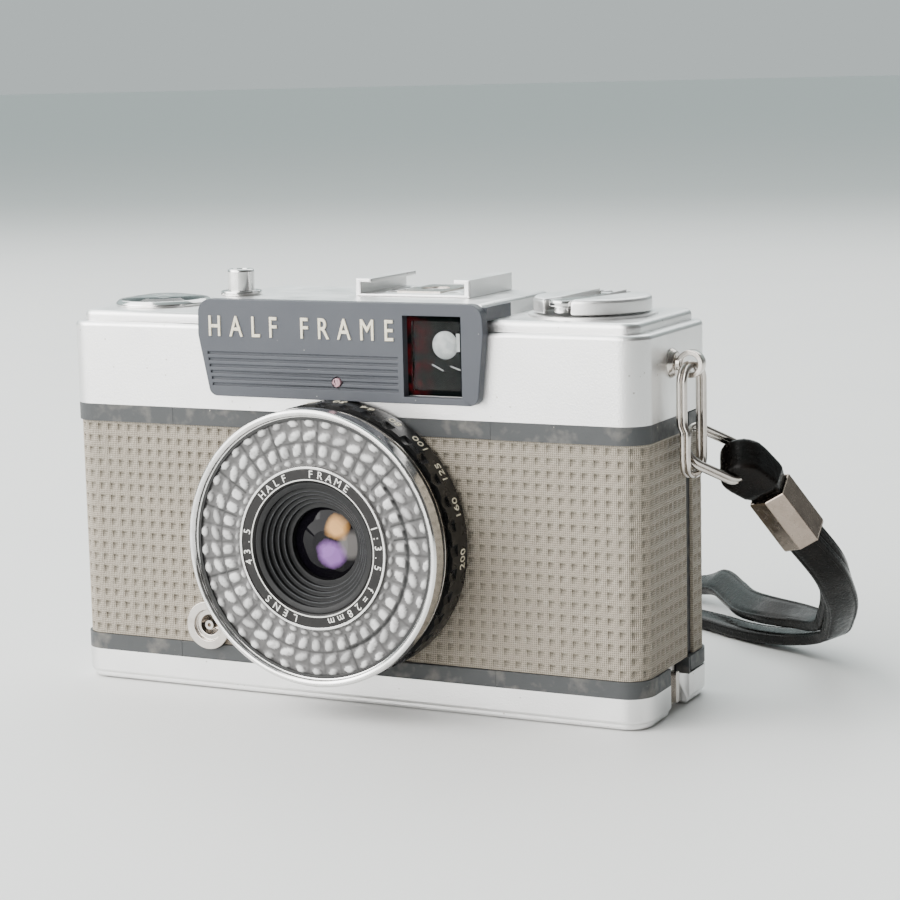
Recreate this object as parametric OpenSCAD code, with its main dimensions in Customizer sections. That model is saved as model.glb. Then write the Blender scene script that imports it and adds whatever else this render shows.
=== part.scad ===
/* [Body] */
// Width over the top and bottom covers
body_w = 108; // [104:0.5:112]
// Depth from the front face to the door
body_d = 31; // [30:0.5:33]
// Radius of the four upright corners
corner_r = 4.5; // [3.5:0.5:5.5]
// Height of the bottom cover
base_h = 5.2; // [4.8:0.1:5.4]
// Height of the painted trim strips
trim_h = 2.8; // [2.4:0.1:3]
// Height at which the top cover starts
cover_z = 49.2; // [48.8:0.1:49.6]
// Thickness of the leatherette
skin_t = 0.6; // [0.4:0.1:0.6]

/* [Top cover] */
// Height of the first tier's top
tier1_z = 63.6; // [63:0.1:64]
// Height of the second tier's top
tier2_z = 65.4; // [65.2:0.1:65.6]
// Height of the raised centre block
block_z = 68.1; // [67.8:0.1:68.4]
// How far the second tier is set in
tier_inset = 1.8; // [1.2:0.1:2.2]
// Sheet thickness of the covers
wall = 1.0; // [0.8:0.1:1.1]

/* [Lens] */
// Lens axis, sideways from the middle
lens_x = 0.5; // [-1:0.1:1.5]
// Lens axis height
lens_z = 28.7; // [28.2:0.1:29]
// Radius of the front rim
rim_r = 23.0; // [22.6:0.1:23.2]
// How far the rim stands out from the front face
lens_out = 12.5; // [12:0.1:13]

/* [Controls] */
// Shutter button travel
button_travel = 2.2; // [1.5:0.1:2.5]
// Rewind knob radius
knob_r = 9.7; // [9:0.1:10]
// Frame counter bezel radius
counter_r = 8.5; // [8:0.1:8.6]

/* [Strap] */
// Width of one strap strand
strap_w = 5.8; // [5:0.1:6]
// Thickness of one strap strand
strap_t = 2.1; // [1.8:0.1:2.2]
// Wire radius of the two lug rings
wire_r = 0.5; // [0.4:0.05:0.5]

/* [Hidden] */
$fn = 96;
front_y = -body_d / 2;
back_y = body_d / 2;
side_x = body_w / 2;
e = 0.01;

// Levels of the body between the two covers
skin_in = 1.0;
skin_out = skin_in - skin_t;
leather_z0 = base_h + trim_h;
leather_z1 = cover_z - trim_h - 0.2;
split_y = 4.6;
door_y = 5.0;
door_z0 = 5.6;
door_z1 = cover_z - 0.2;
door_wall = 1.5;

// Front plate that carries the lens
plate_x0 = -32.7;
plate_x1 = 27.7;
plate_t = 1.2;

// Film path
film_y = 8.5;
cassette_x = 39.6;
cassette_y = -0.6;
cassette_r = 12.3;
spool_x = -41;
spool_y = -3;
sprocket_x = -25.5;
sprocket_y = 0.5;
gate_w = 18;
gate_h = 24;
bay_z0 = 9;
bay_z1 = 45.4;

// Back door hinge
hinge_x = -side_x - 0.9;
hinge_y = 4.8;
knuckle_r = 1.3;
pin_r = 0.6;
knuckles = [[10, 17], [37, 44]];
door_knuckle = [17.3, 36.7];

// Grey front panel and viewfinder
panel_t = 2.0;
panel_z0 = 51.8;
panel_z1 = 68.2;
block_x0 = -24.8;
block_x1 = 26.4;
block_y1 = 11;
win_x0 = 13.2;
win_x1 = 23.7;
win_z0 = 52.9;
win_z1 = 66.2;
win_x = (win_x0 + win_x1) / 2;
finder_top = 62.4;
rib_n = 6;
rib_pitch = 1.06;
rib_z = 59.1;
eye_z = 59.5;

// Controls on the top
button_x = -22.4;
button_y = -8.2;
button_r = 2.3;
counter_x = -43;
counter_y = -0.8;
knob_x = cassette_x;
knob_y = cassette_y;
shoe_x = 9.5;
shoe_y0 = -6.5;
shoe_y1 = 10.5;
shoe_w = 21.4;
crank_a = -105;
crank_pivot = 5.6;
crank_z = 67.9;
wheel_x = -38.5;
wheel_y = 6.7;
wheel_z = 51;

// Lens stack, measured back from the rim
rim_y = front_y - lens_out;
bezel_y = rim_y + 2.9;
grip_y = rim_y + 6.0;
base_y = front_y - 0.8;
cell_y = rim_y + 4.0;
name_r = 13.5;
bore_r = 9.9;
glass_r = 6.1;
shutter_r = 14.6;
socket_x = -26.7;
socket_z = 11.4;
tripod_r = 3.175;

// Strap lugs and rings
lug_y = -2.5;
lug_z = 58;
eye_x = side_x + 3.3;
eye_r = 1.4;
wire_gap = 0.47;
ring_turn = 12;
ring_len = 18;
ring_half = 2.9;
link_dir = [0.66, 0.604, -0.4415];
link_across = [-0.25, 0.68, 0.69];
link_tip = [55.9, -1.1, 45.3];
link_len = 11;
link_half = 3.9;
link_corner = 2.6;
loop_at = link_tip + link_len * link_dir;
loop_r = 3.3;
loop_w = 5.4;
neck_t = 4.2;
loop_hole_r = 1.35;
clamp_at = [66.2, 8.6, 36.7];
clamp_dir = [0.4, 0.48, -0.78];
clamp_across = [0.916, -0.136, 0.386];
clamp_len = 11.5;
sleeve_t = 0.4;
clamp_lip = 0.6;
clamp_w = strap_w + 2 * sleeve_t;
clamp_t = 2 * strap_t + 0.2 + 2 * sleeve_t;
strand_gap = strap_t / 2 + 0.08;
strap_clear = 0.3;

// Strap route: place, then heading and tilt of the strand's width.
// Both strands leave the clamp together along this line.
strap_pair = [
    [73.1, 19.5, 22.0, 8, 17],
    [72.9, 25.0, 17.5, 28, 12],
    [71.9, 30.0, 13.8, 43, 6],
    [69.7, 35.6, 9.9, 52, 6],
    [66.5, 41.5, 6.0, 57, 8]
];
// The lower strand lies on the table, turns back and returns as the upper one.
strap_single = [
    [60.2, 46.2, 2.8, 58, 8],
    [52.4, 50.3, 1.6, 59, 3],
    [45.5, 54.2, 1.2, 62, 0],
    [38, 59, 1.2, 66, 0],
    [26, 64, 1.2, 74, 0],
    [8, 67, 1.2, 86, 0],
    [-14, 67, 1.2, 93, 0],
    [-34, 66, 1.7, 98, 10],
    [-43, 67.5, 2.7, 100, 36],
    [-48, 74, 2.7, 100, 38],
    [-43, 80, 2.7, 100, 36],
    [-34, 82, 1.8, 98, 10],
    [-14, 84, 1.2, 93, 0],
    [10, 84, 1.7, 82, 4],
    [27, 80, 3.2, 72, 12],
    [34.8, 73, 5.6, 66, 36],
    [40.8, 64.5, 5.6, 62, 38],
    [46.0, 56.5, 5.7, 60, 38],
    [52.1, 50.1, 6.3, 60, 36],
    [59.4, 46.6, 6.4, 60, 22]
];
strap_steps = 2;

// Plan outline of the body, set in by i
module plan(i = 0) {
    r = corner_r - i;
    w = body_w - 2 * i;
    d = body_d - 2 * i;
    union() {
        square([w - 2 * r, d], center = true);
        square([w, d - 2 * r], center = true);
        for (sx = [-1, 1], sy = [-1, 1])
            translate([sx * (w / 2 - r), sy * (d / 2 - r)]) circle(r = r);
    }
}

module slab(i, z0, z1) {
    translate([0, 0, z0]) linear_extrude(z1 - z0) plan(i);
}

// Box given by its two corners
module block(a, b) {
    translate(a) cube(b - a);
}

// Round bar along +Y from y0 to y1
module bar_y(x, z, r, y0, y1, r2 = -1) {
    translate([x, y0, z]) rotate([-90, 0, 0])
        cylinder(r1 = r, r2 = r2 < 0 ? r : r2, h = y1 - y0);
}

// Ring about the lens axis
module lens_ring(r_out, r_in, y0, y1) {
    difference() {
        bar_y(lens_x, lens_z, r_out, y0, y1);
        bar_y(lens_x, lens_z, r_in, y0 - 1, y1 + 1);
    }
}

// Turned lens part: outline points are [radius, distance behind the rim]
module lens_turn(pts) {
    translate([lens_x, rim_y, lens_z]) rotate([-90, 0, 0]) rotate_extrude() polygon(pts);
}

module front_half() {
    block([-side_x - 1, front_y - 1, 0], [side_x + 1, split_y, 100]);
}

module rear_half() {
    block([-side_x - 1, door_y, 0], [side_x + 1, back_y + 1, 100]);
}

// Unit vector, and the turn that lays +X along u and +Y along v
function unit(v) = v / norm(v);
function square_to(u, v) = unit(v - (v * u) * u);
function turn_to(u, v) = let (a = unit(u), b = square_to(a, v), c = cross(a, b))
    [atan2(b[2], c[2]), -asin(a[2]), atan2(a[1], a[0])];

module place(at, u, v) {
    translate(at) rotate(turn_to(u, v)) children();
}

// ---- body ----

module knuckle_space(z0, z1) {
    translate([hinge_x, hinge_y, z0 - 0.3]) cylinder(r = knuckle_r + 0.3, h = z1 - z0 + 0.6);
}

module knuckle(z0, z1, y0, y1, x1) {
    difference() {
        union() {
            translate([hinge_x, hinge_y, z0]) cylinder(r = knuckle_r, h = z1 - z0);
            block([hinge_x, y0, z0], [x1, y1, z1]);
        }
        translate([hinge_x, hinge_y, z0 - 1]) cylinder(r = pin_r + 0.06, h = z1 - z0 + 2);
    }
}

module film_tunnel_space() {
    block([lens_x - 10, front_y, lens_z - 13], [lens_x + 10, film_y - 1.2, lens_z + 13]);
    block([lens_x - gate_w / 2, 0, lens_z - gate_h / 2],
          [lens_x + gate_w / 2, film_y + 1, lens_z + gate_h / 2]);
}

module latch_recess() {
    block([side_x - 2.9, -4.2, -1], [side_x + 1, 4.2, leather_z0]);
}

module chassis() color("dimgray") {
    plate_back = front_y + skin_in + plate_t;
    difference() {
        union() {
            intersection() {
                union() {
                    slab(skin_in, base_h, cover_z);
                    slab(0, base_h, leather_z0);
                    slab(0, leather_z1, cover_z);
                }
                front_half();
            }
            block([lens_x - 18, 0, bay_z0 + 0.6], [lens_x + 18, film_y, bay_z1 - 0.6]);
        }
        block([plate_x0, front_y - 1, 0], [plate_x1, plate_back, cover_z + 1]);
        bar_y(lens_x, lens_z, shutter_r + 0.2, front_y, front_y + 9);
        film_tunnel_space();
        translate([cassette_x, cassette_y, bay_z0]) cylinder(r = cassette_r, h = bay_z1 - bay_z0);
        block([cassette_x - cassette_r, cassette_y, bay_z0],
              [cassette_x + cassette_r, split_y + 1, bay_z1]);
        block([-side_x + 2.2, front_y + 3.5, bay_z0], [lens_x - 18, split_y + 1, bay_z1]);
        translate([knob_x, knob_y, 40]) cylinder(r = 2.28, h = 12);
        translate([spool_x, spool_y, 40]) cylinder(r = 1.58, h = 12);
        translate([spool_x, spool_y, bay_z0 - 2]) cylinder(r = 1.58, h = 4);
        translate([sprocket_x, sprocket_y, 40]) cylinder(r = 1.58, h = 12);
        translate([sprocket_x, sprocket_y, base_h - 1]) cylinder(r = 1.58, h = 6);
        latch_recess();
        knuckle_space(door_knuckle[0], door_knuckle[1]);
        bar_y(socket_x, socket_z, 2.3, front_y, front_y + 6);
    }
    for (k = knuckles) knuckle(k[0], k[1], 3.1, split_y, -side_x + skin_in);
}

module front_plate() color("slategray") {
    face = front_y + skin_in;
    difference() {
        union() {
            block([plate_x0, face, base_h], [plate_x1, face + plate_t, cover_z]);
            block([plate_x0, front_y, base_h], [plate_x1, face, leather_z0]);
            block([plate_x0, front_y, leather_z1], [plate_x1, face, cover_z]);
        }
        bar_y(lens_x, lens_z, shutter_r + 0.2, front_y - 1, front_y + 9);
        bar_y(lens_x, lens_z, 20.6, front_y - 1, face);
        bar_y(socket_x, socket_z, 4.22, front_y - 1, face);
        bar_y(socket_x, socket_z, 2.3, front_y - 1, front_y + 9);
    }
}

module skin(z0, z1) {
    difference() {
        slab(skin_out, z0, z1);
        slab(skin_in, z0 - 1, z1 + 1);
    }
}

module front_skin(x0, x1) {
    difference() {
        intersection() {
            skin(leather_z0, leather_z1);
            block([x0, front_y - 1, 0], [x1, split_y, 60]);
        }
        bar_y(lens_x, lens_z, 20.6, front_y - 1, front_y + 4);
        bar_y(socket_x, socket_z, 4.22, front_y - 1, front_y + 4);
        knuckle_space(door_knuckle[0], door_knuckle[1]);
        for (k = knuckles) {
            knuckle_space(k[0], k[1]);
            block([-side_x - 1, 3.1, k[0]], [-side_x + 4, split_y + 1, k[1]]);
        }
    }
}

module leatherette_left() color("#8f8878") front_skin(-side_x - 1, lens_x);

module leatherette_right() color("#8f8878") front_skin(lens_x, side_x + 1);

module bottom_cover() color("silver") {
    difference() {
        union() {
            slab(0, 0.9, base_h);
            slab(0.5, 0, 0.9);
        }
        difference() {
            slab(wall, 1.2, base_h + 1);
            block([side_x - 4, -5.4, 0], [side_x + 1, 5.4, base_h + 1]);
        }
        latch_recess();
        translate([0, 0, -1]) cylinder(r = 5, h = 5);
        translate([-27, 4, -1]) cylinder(r = 1.9, h = 5);
        for (s = [-1, 1]) translate([s * 46, -9, -e]) {
            cylinder(r = 0.9, h = 3);
            cylinder(r1 = 1.9, r2 = 0.9, h = 0.8);
        }
    }
}

module base_screws() color("gainsboro") {
    for (s = [-1, 1]) translate([s * 46, -9, 0.1]) difference() {
        union() {
            cylinder(r1 = 1.7, r2 = 0.8, h = 0.75);
            cylinder(r = 0.75, h = 3);
        }
        block([-1.8, -0.2, -1], [1.8, 0.2, 0.3]);
    }
}

module tripod_socket() color("silver") {
    difference() {
        union() {
            cylinder(r = 4.9, h = base_h);
            translate([0, 0, 1.2]) cylinder(r = 6.5, h = base_h - 1.2);
        }
        translate([0, 0, -1]) cylinder(r = tripod_r, h = base_h);
    }
}

// ---- top cover ----

module cover_solid(i, t) {
    slab(i, cover_z - (i > 0 ? 1 : 0), tier1_z - t);
    slab(tier_inset + i, tier1_z - t - e, tier2_z - t);
    block([block_x0 + i, front_y + i + 0.4, tier1_z - 1], [block_x1 - i, block_y1 - i, block_z - t]);
}

module top_cover() color("silver") {
    difference() {
        union() {
            cover_solid(0, 0);
            translate([knob_x, knob_y, tier2_z - e]) cylinder(r = knob_r + 0.9, h = 0.4);
        }
        cover_solid(wall, wall);
        block([win_x0 + 0.7, front_y - 1, win_z0 + 0.8], [win_x1 - 0.7, front_y + 2, win_z1 - 0.8]);
        bar_y(win_x, eye_z, 4.3, back_y - 3, back_y + 1);
        translate([knob_x, knob_y, 60]) cylinder(r = 3.08, h = 10);
        translate([button_x, button_y, 60]) cylinder(r = 2.9, h = 10);
        translate([counter_x, counter_y, 60]) cylinder(r = 7.0, h = 10);
        block([wheel_x - 9.5, wheel_y + 4, wheel_z - 0.5], [wheel_x + 9.5, back_y + 1, wheel_z + 3.7]);
    }
    translate([wheel_x, wheel_y, wheel_z - 0.4]) cylinder(r = 1.52, h = tier1_z - wheel_z);
}

// Front outline of the grey panel
module panel_outline() {
    r_top = 2.4;
    r_low = 1.6;
    hull() {
        for (p = [[-23.2, panel_z1 - r_top, r_top], [25.1, panel_z1 - r_top, r_top],
                  [-23.3, 62.4, r_top], [25.2, 63.4, r_top],
                  [-22.3, panel_z0 + r_low, r_low], [25.0, panel_z0 + r_low, r_low]])
            translate([p[0], p[1]]) circle(r = p[2], $fn = 32);
    }
}

module front_panel() color("#6d7780") {
    difference() {
        union() {
            translate([0, front_y, 0]) rotate([90, 0, 0]) linear_extrude(panel_t) panel_outline();
            block([block_x0 - 1, front_y, tier2_z], [block_x0, front_y + 9.5, panel_z1 - 0.6]);
            block([block_x1, front_y, tier2_z], [block_x1 + 1, front_y + 9.5, panel_z1 - 0.6]);
            block([block_x0 - 1, front_y, tier2_z], [block_x1 + 1, front_y + 0.4, panel_z1 - 0.6]);
        }
        block([win_x0, front_y - 3, win_z0], [win_x1, front_y + 1, win_z1]);
        for (i = [0 : rib_n - 1])
            block([-23.9 + 0.16 * i, front_y - panel_t - 1, rib_z - rib_pitch * i - 0.22],
                  [win_x0 - 1, front_y - panel_t + 0.35, rib_z - rib_pitch * i + 0.22]);
        bar_y(0.8, 54.8, 0.95, front_y - 3, front_y - panel_t + 0.8);
        translate([button_x, button_y, 60]) cylinder(r = 2.9, h = 10);
    }
}

module index_dot() color("rosybrown") {
    bar_y(0.8, 54.8, 0.75, front_y - panel_t - 0.2, front_y - panel_t + 0.8);
}

module window_glass() color("darkslategray") {
    block([win_x0 + 0.15, front_y - 0.5, win_z0 + 0.15], [win_x1 - 0.15, front_y, win_z1 - 0.15]);
}

module finder_tunnel() color("black") {
    difference() {
        block([win_x0 - 0.2, front_y + wall, win_z0 - 0.2], [win_x1 + 0.2, back_y - wall, finder_top]);
        block([win_x0 + 0.6, front_y, win_z0 + 0.6], [win_x1 - 0.6, back_y, finder_top - 0.8]);
    }
}

module finder_lens() color("lightblue") {
    block([win_x0 + 0.6, front_y + 3, win_z0 + 0.6], [win_x1 - 0.6, front_y + 4.6, finder_top - 0.8]);
}

module eyepiece_frame() color("black") {
    difference() {
        block([win_x - 7.5, back_y, eye_z - 5.6], [win_x + 7.5, back_y + 1.4, eye_z + 4.0]);
        bar_y(win_x, eye_z, 3.4, back_y - 1, back_y + 3);
    }
}

module eyepiece_glass() color("lightblue") {
    bar_y(win_x, eye_z, 4.2, back_y - 1, back_y);
}

// ---- controls ----

module shutter_button() color("silver") {
    translate([button_x, button_y, 0]) difference() {
        union() {
            translate([0, 0, 60]) cylinder(r = button_r, h = 12.3);
            translate([0, 0, 72.3]) cylinder(r1 = button_r, r2 = button_r - 0.3, h = 0.3);
        }
        translate([0, 0, 69]) cylinder(r = 1.25, h = 5);
    }
}

module button_collar() color("silver") {
    translate([button_x, button_y, 0]) difference() {
        union() {
            translate([0, 0, 64]) cylinder(r = 2.85, h = block_z - 64 + e);
            translate([0, 0, block_z]) cylinder(r = 3.5, h = 0.8);
        }
        translate([0, 0, 60]) cylinder(r = button_r + 0.08, h = 12);
    }
}

module counter_bezel() color("silver") {
    translate([counter_x, counter_y, 0]) rotate_extrude()
        polygon([[7.0, tier2_z], [counter_r, tier2_z], [counter_r, tier2_z + 0.5],
                 [7.9, tier2_z + 1.1], [7.4, tier2_z + 1.1], [7.4, tier2_z + 0.7], [7.0, tier2_z + 0.7]]);
}

module counter_dial() color("white") {
    translate([counter_x, counter_y, 0]) {
        translate([0, 0, tier2_z - 0.7]) cylinder(r = 6.6, h = 0.6);
        translate([0, 0, 58]) cylinder(r = 1.2, h = tier2_z - 0.7 - 58 + e);
    }
}

module counter_glass() color("lightcyan") {
    sag = 0.8;
    r = 7.35;
    R = (r * r + sag * sag) / (2 * sag);
    translate([counter_x, counter_y, tier2_z + 0.7]) {
        cylinder(r = r, h = 0.4);
        translate([0, 0, 0.4]) intersection() {
            translate([0, 0, sag - R]) sphere(r = R);
            cylinder(r = r, h = 2);
        }
    }
}

module accessory_shoe() color("silver") {
    x0 = shoe_x - shoe_w / 2;
    x1 = shoe_x + shoe_w / 2;
    difference() {
        block([x0, shoe_y0, block_z], [x1, shoe_y1, block_z + 3]);
        block([x0 + 1.2, shoe_y0 - 1, block_z + 0.5], [x1 - 1.2, shoe_y1 + 1, block_z + 2.3]);
        block([x0 + 3.1, shoe_y0 - 1, block_z + 0.5], [x1 - 3.1, shoe_y1 + 1, block_z + 4]);
        for (sx = [-1, 1], y = [-2, 7]) translate([shoe_x + sx * 5.5, y, block_z - 1]) cylinder(r = 1.2, h = 3);
    }
}

module shoe_spring() color("gainsboro") {
    translate([shoe_x, 2.5, block_z + 0.5]) difference() {
        block([-4, -6.5, 0], [4, 6.5, 0.3]);
        translate([0, 0, -1]) cylinder(r = 2.5, h = 3);
    }
}

module shoe_screws() color("gainsboro") {
    for (sx = [-1, 1], y = [-2, 7]) translate([shoe_x + sx * 5.5, y, block_z]) difference() {
        cylinder(r = 1.15, h = 0.45);
        block([-0.8, -0.15, 0.25], [0.8, 0.15, 1]);
    }
}

// Knob frame: the knob's centre, with +X towards the crank's free end
module knob_frame() {
    translate([knob_x, knob_y, 0]) rotate(crank_a) children();
}

module rewind_knob() color("silver") {
    top = 68.6;
    knob_frame() difference() {
        union() {
            translate([0, 0, 66.1]) cylinder(r = knob_r, h = 2.1);
            translate([0, 0, 68.2]) cylinder(r1 = knob_r, r2 = knob_r - 0.4, h = top - 68.2);
        }
        translate([0, 0, 66]) difference() {
            cylinder(r = knob_r - 0.9, h = 0.6);
            translate([0, 0, -1]) cylinder(r = 4, h = 3);
        }
        block([-knob_r - 1, -2.7, 67.2], [knob_r + 1, 2.7, 70]);
        translate([knob_r - 2.2, 0, 66]) cylinder(r = 2.7, h = 4);
        block([knob_r - 2.2, -2.7, 66], [knob_r + 1, 2.7, 70]);
        translate([-crank_pivot, 0, crank_z]) rotate([90, 0, 0]) cylinder(r = 0.5, h = 9, center = true);
    }
}

module rewind_crank() color("gainsboro") {
    tip = knob_r - 2.2;
    knob_frame() difference() {
        union() {
            translate([-crank_pivot, 0, crank_z]) rotate([90, 0, 0]) cylinder(r = 0.62, h = 5, center = true);
            block([-crank_pivot, -2.5, crank_z - 0.5], [tip, 2.5, crank_z + 0.5]);
            translate([tip, 0, crank_z - 0.5]) cylinder(r = 2.5, h = 1);
            translate([tip, 0, 66.3]) cylinder(r = 1.7, h = crank_z - 66.3);
        }
        translate([-crank_pivot, 0, crank_z]) rotate([90, 0, 0]) cylinder(r = 0.56, h = 9, center = true);
    }
}

module crank_pin() color("gray") {
    knob_frame() translate([-crank_pivot, 0, crank_z]) rotate([90, 0, 0])
        cylinder(r = 0.5, h = 8, center = true);
}

module rewind_shaft() color("silver") {
    translate([knob_x, knob_y, 0]) difference() {
        translate([0, 0, 41]) cylinder(r = 2.2, h = 66.1 - 41);
        block([-0.8, -3, 40], [0.8, 3, 44.5]);
    }
}

module rewind_sleeve() color("darkgray") {
    translate([knob_x, knob_y, 50]) difference() {
        cylinder(r = 3.0, h = 14.2);
        translate([0, 0, -1]) cylinder(r = 2.26, h = 17);
    }
}

module thumbwheel() color("black") {
    teeth = 60;
    translate([wheel_x, wheel_y, wheel_z]) difference() {
        union() {
            cylinder(r = 10.6, h = 3.2);
            for (i = [0 : teeth - 1]) rotate(i * 360 / teeth)
                block([10.3, -0.28, 0.3], [11, 0.28, 2.9]);
        }
        translate([0, 0, -1]) cylinder(r = 1.6, h = 6);
    }
}

module take_up_spool() color("black") {
    translate([spool_x, spool_y, 0]) {
        translate([0, 0, bay_z0 - 1.5]) cylinder(r = 1.5, h = cover_z - bay_z0 + 1.3);
        translate([0, 0, bay_z0 + 0.4]) cylinder(r = 4.2, h = bay_z1 - bay_z0 - 0.8);
        translate([0, 0, bay_z0 + 0.5]) cylinder(r = 6.4, h = 1);
        translate([0, 0, bay_z1 - 1.5]) cylinder(r = 6.4, h = 1);
    }
}

module sprocket_shaft() color("gainsboro") {
    teeth = 8;
    translate([sprocket_x, sprocket_y, 0]) {
        translate([0, 0, base_h]) cylinder(r = 1.5, h = cover_z - base_h - 0.4);
        for (z = [lens_z - 14.5, lens_z + 12.5]) translate([0, 0, z]) {
            cylinder(r = 3.4, h = 2);
            for (i = [0 : teeth - 1]) rotate(i * 360 / teeth)
                block([3.2, -0.5, 0.6], [4.2, 0.5, 1.5]);
        }
    }
}

module rewind_release() color("silver") {
    translate([-27, 4, 0.3]) {
        cylinder(r = 1.8, h = 3);
        translate([0, 0, 1.2]) cylinder(r = 2.6, h = 1);
    }
}

// ---- back door ----

module back_door() color("#4c4f52") {
    difference() {
        intersection() {
            union() {
                slab(skin_in, door_z0, door_z1);
                slab(0, door_z0, leather_z0);
                slab(0, leather_z1, door_z1);
            }
            rear_half();
        }
        difference() {
            slab(skin_in + door_wall, door_z0 + 1.4, door_z1 - 1.4);
            block([-side_x, back_y - skin_in - door_wall, 0], [side_x, back_y, 60]);
        }
        for (k = knuckles) knuckle_space(k[0], k[1]);
        knuckle_space(door_knuckle[0] + 1, door_knuckle[1] - 1);
    }
    knuckle(door_knuckle[0], door_knuckle[1], door_y, 6.6, -side_x + 2.2);
}

module door_leatherette() color("#8f8878") {
    difference() {
        intersection() {
            skin(leather_z0, leather_z1);
            rear_half();
        }
        for (k = knuckles) knuckle_space(k[0], k[1]);
        knuckle_space(door_knuckle[0], door_knuckle[1]);
        block([-side_x - 1, door_y, door_knuckle[0]], [-side_x + 2.2, 6.6, door_knuckle[1]]);
    }
}

module pressure_plate() color("dimgray") {
    block([lens_x - 16.5, film_y + 0.3, lens_z - 15], [lens_x + 16.5, film_y + 1.2, lens_z + 15]);
}

module pressure_spring() color("silver") {
    y0 = film_y + 1.2;
    y1 = back_y - skin_in - door_wall;
    block([lens_x - 10, y0, lens_z - 2.5], [lens_x + 10, y0 + 0.4, lens_z + 2.5]);
    for (s = [-1, 1])
        block([lens_x + s * 9.8 - 0.2, y0, lens_z - 2.5], [lens_x + s * 9.8 + 0.2, y1, lens_z + 2.5]);
}

module hinge_pin() color("silver") {
    translate([hinge_x, hinge_y, 9.6]) cylinder(r = pin_r, h = 34.8);
}

module door_latch() color("darkgray") {
    block([side_x - 2.7, -3.9, 0.7], [side_x - 1.5, 1.4, 7.6]);
    block([side_x - 1.5, -1.0, 1.4], [side_x - 0.3, 0.4, 6.6]);
}

// ---- flash socket and strap hardware ----

module pc_socket() color("silver") {
    difference() {
        union() {
            bar_y(socket_x, socket_z, 4.2, front_y - 0.9, front_y + skin_in);
            bar_y(socket_x, socket_z, 2.2, front_y, front_y + 4);
        }
        bar_y(socket_x, socket_z, 2.7, front_y - 2, front_y - 0.2);
        bar_y(socket_x, socket_z, 1.75, front_y - 2, front_y + 3.2);
    }
}

module pc_contact() color("gold") {
    difference() {
        bar_y(socket_x, socket_z, 0.8, front_y - 0.4, front_y + 3.2);
        bar_y(socket_x, socket_z, 0.35, front_y - 2, front_y + 1);
    }
}

module lug(s) {
    translate([s * side_x, lug_y, lug_z]) rotate([0, s * 90, 0]) {
        cylinder(r1 = 2.5, r2 = 1.9, h = 0.9);
        cylinder(r = 1.1, h = 1.7);
    }
    difference() {
        bar_y(s * eye_x, lug_z, 2.25, lug_y - 0.85, lug_y + 0.85);
        bar_y(s * eye_x, lug_z, eye_r, lug_y - 2, lug_y + 2);
    }
}

module lug_right() color("silver") lug(1);

module lug_left() color("silver") lug(-1);

// Two turns of wire side by side, seen in section
module wire_pair() {
    for (s = [-1, 1]) translate([0, s * wire_gap]) circle(r = wire_r, $fn = 32);
}

// Flat split ring in its own plane: the tip is the origin and it runs along +X
module wire_loop(length, half, r) {
    module straight(n) {
        rotate([90, 0, 90]) linear_extrude(n) wire_pair();
    }
    for (m = [0, 1]) mirror([0, m, 0]) {
        for (k = [0, 1]) translate([k * length, 0, 0]) mirror([k, 0, 0])
            translate([r, half - r, 0]) rotate(90) rotate_extrude(angle = 90) translate([r, 0]) wire_pair();
        translate([r, half, 0]) straight(length - 2 * r);
    }
    if (half > r)
        for (x = [0, length]) translate([x, r - half, 0]) rotate(90) straight(2 * (half - r));
}

module split_ring() color("silver") {
    place([eye_x, lug_y, lug_z], [0, 0, -1], [sin(ring_turn), cos(ring_turn), 0])
        wire_loop(ring_len, ring_half, ring_half);
}

module link_ring() color("silver") {
    place(link_tip, link_dir, link_across) wire_loop(link_len, link_half, link_corner);
}

module strap_loop() color("#1c1c1e") {
    neck = clamp_at - loop_at;
    difference() {
        union() {
            place(loop_at, link_across, link_dir) rotate([0, 90, 0])
                cylinder(r = loop_r, h = loop_w, center = true);
            place(loop_at, neck, link_across)
                block([0, -loop_w / 2, -neck_t / 2], [norm(neck) - 0.6, loop_w / 2, neck_t / 2]);
            place(clamp_at, clamp_dir, clamp_across)
                block([-1.6, -clamp_w / 2 + sleeve_t, -clamp_t / 2 + sleeve_t],
                      [clamp_len, clamp_w / 2 - sleeve_t, clamp_t / 2 - sleeve_t]);
        }
        place(loop_at, link_across, link_dir) rotate([0, 90, 0])
            cylinder(r = loop_hole_r, h = 20, center = true);
    }
}

module strap_clamp() color("silver") {
    ridge = 1.0;
    place(clamp_at, clamp_dir, clamp_across) difference() {
        translate([clamp_lip, 0, 0]) rotate([90, 0, 90]) linear_extrude(clamp_len - clamp_lip)
            polygon([[-clamp_w / 2, -clamp_t / 2], [0, -clamp_t / 2 - ridge], [clamp_w / 2, -clamp_t / 2],
                     [clamp_w / 2, clamp_t / 2], [0, clamp_t / 2 + ridge], [-clamp_w / 2, clamp_t / 2]]);
        block([-1, -clamp_w / 2 + sleeve_t, -clamp_t / 2 + sleeve_t],
              [clamp_len + 1, clamp_w / 2 - sleeve_t, clamp_t / 2 - sleeve_t]);
    }
}

function spot(q) = [q[0], q[1], q[2]];
function width_way(q) = [cos(q[3]) * cos(q[4]), sin(q[3]) * cos(q[4]), sin(q[4])];
function heading(v) = [atan2(v[1], v[0]), asin(unit(v)[2])];

// The strand's start (s = 1) or end (s = -1) at the clamp's mouth
clamp_side = square_to(unit(clamp_dir), clamp_across);
function mouth(s) = concat(clamp_at + (clamp_len + strap_clear) * unit(clamp_dir)
    + s * strand_gap * cross(unit(clamp_dir), clamp_side), heading(clamp_side));

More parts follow.
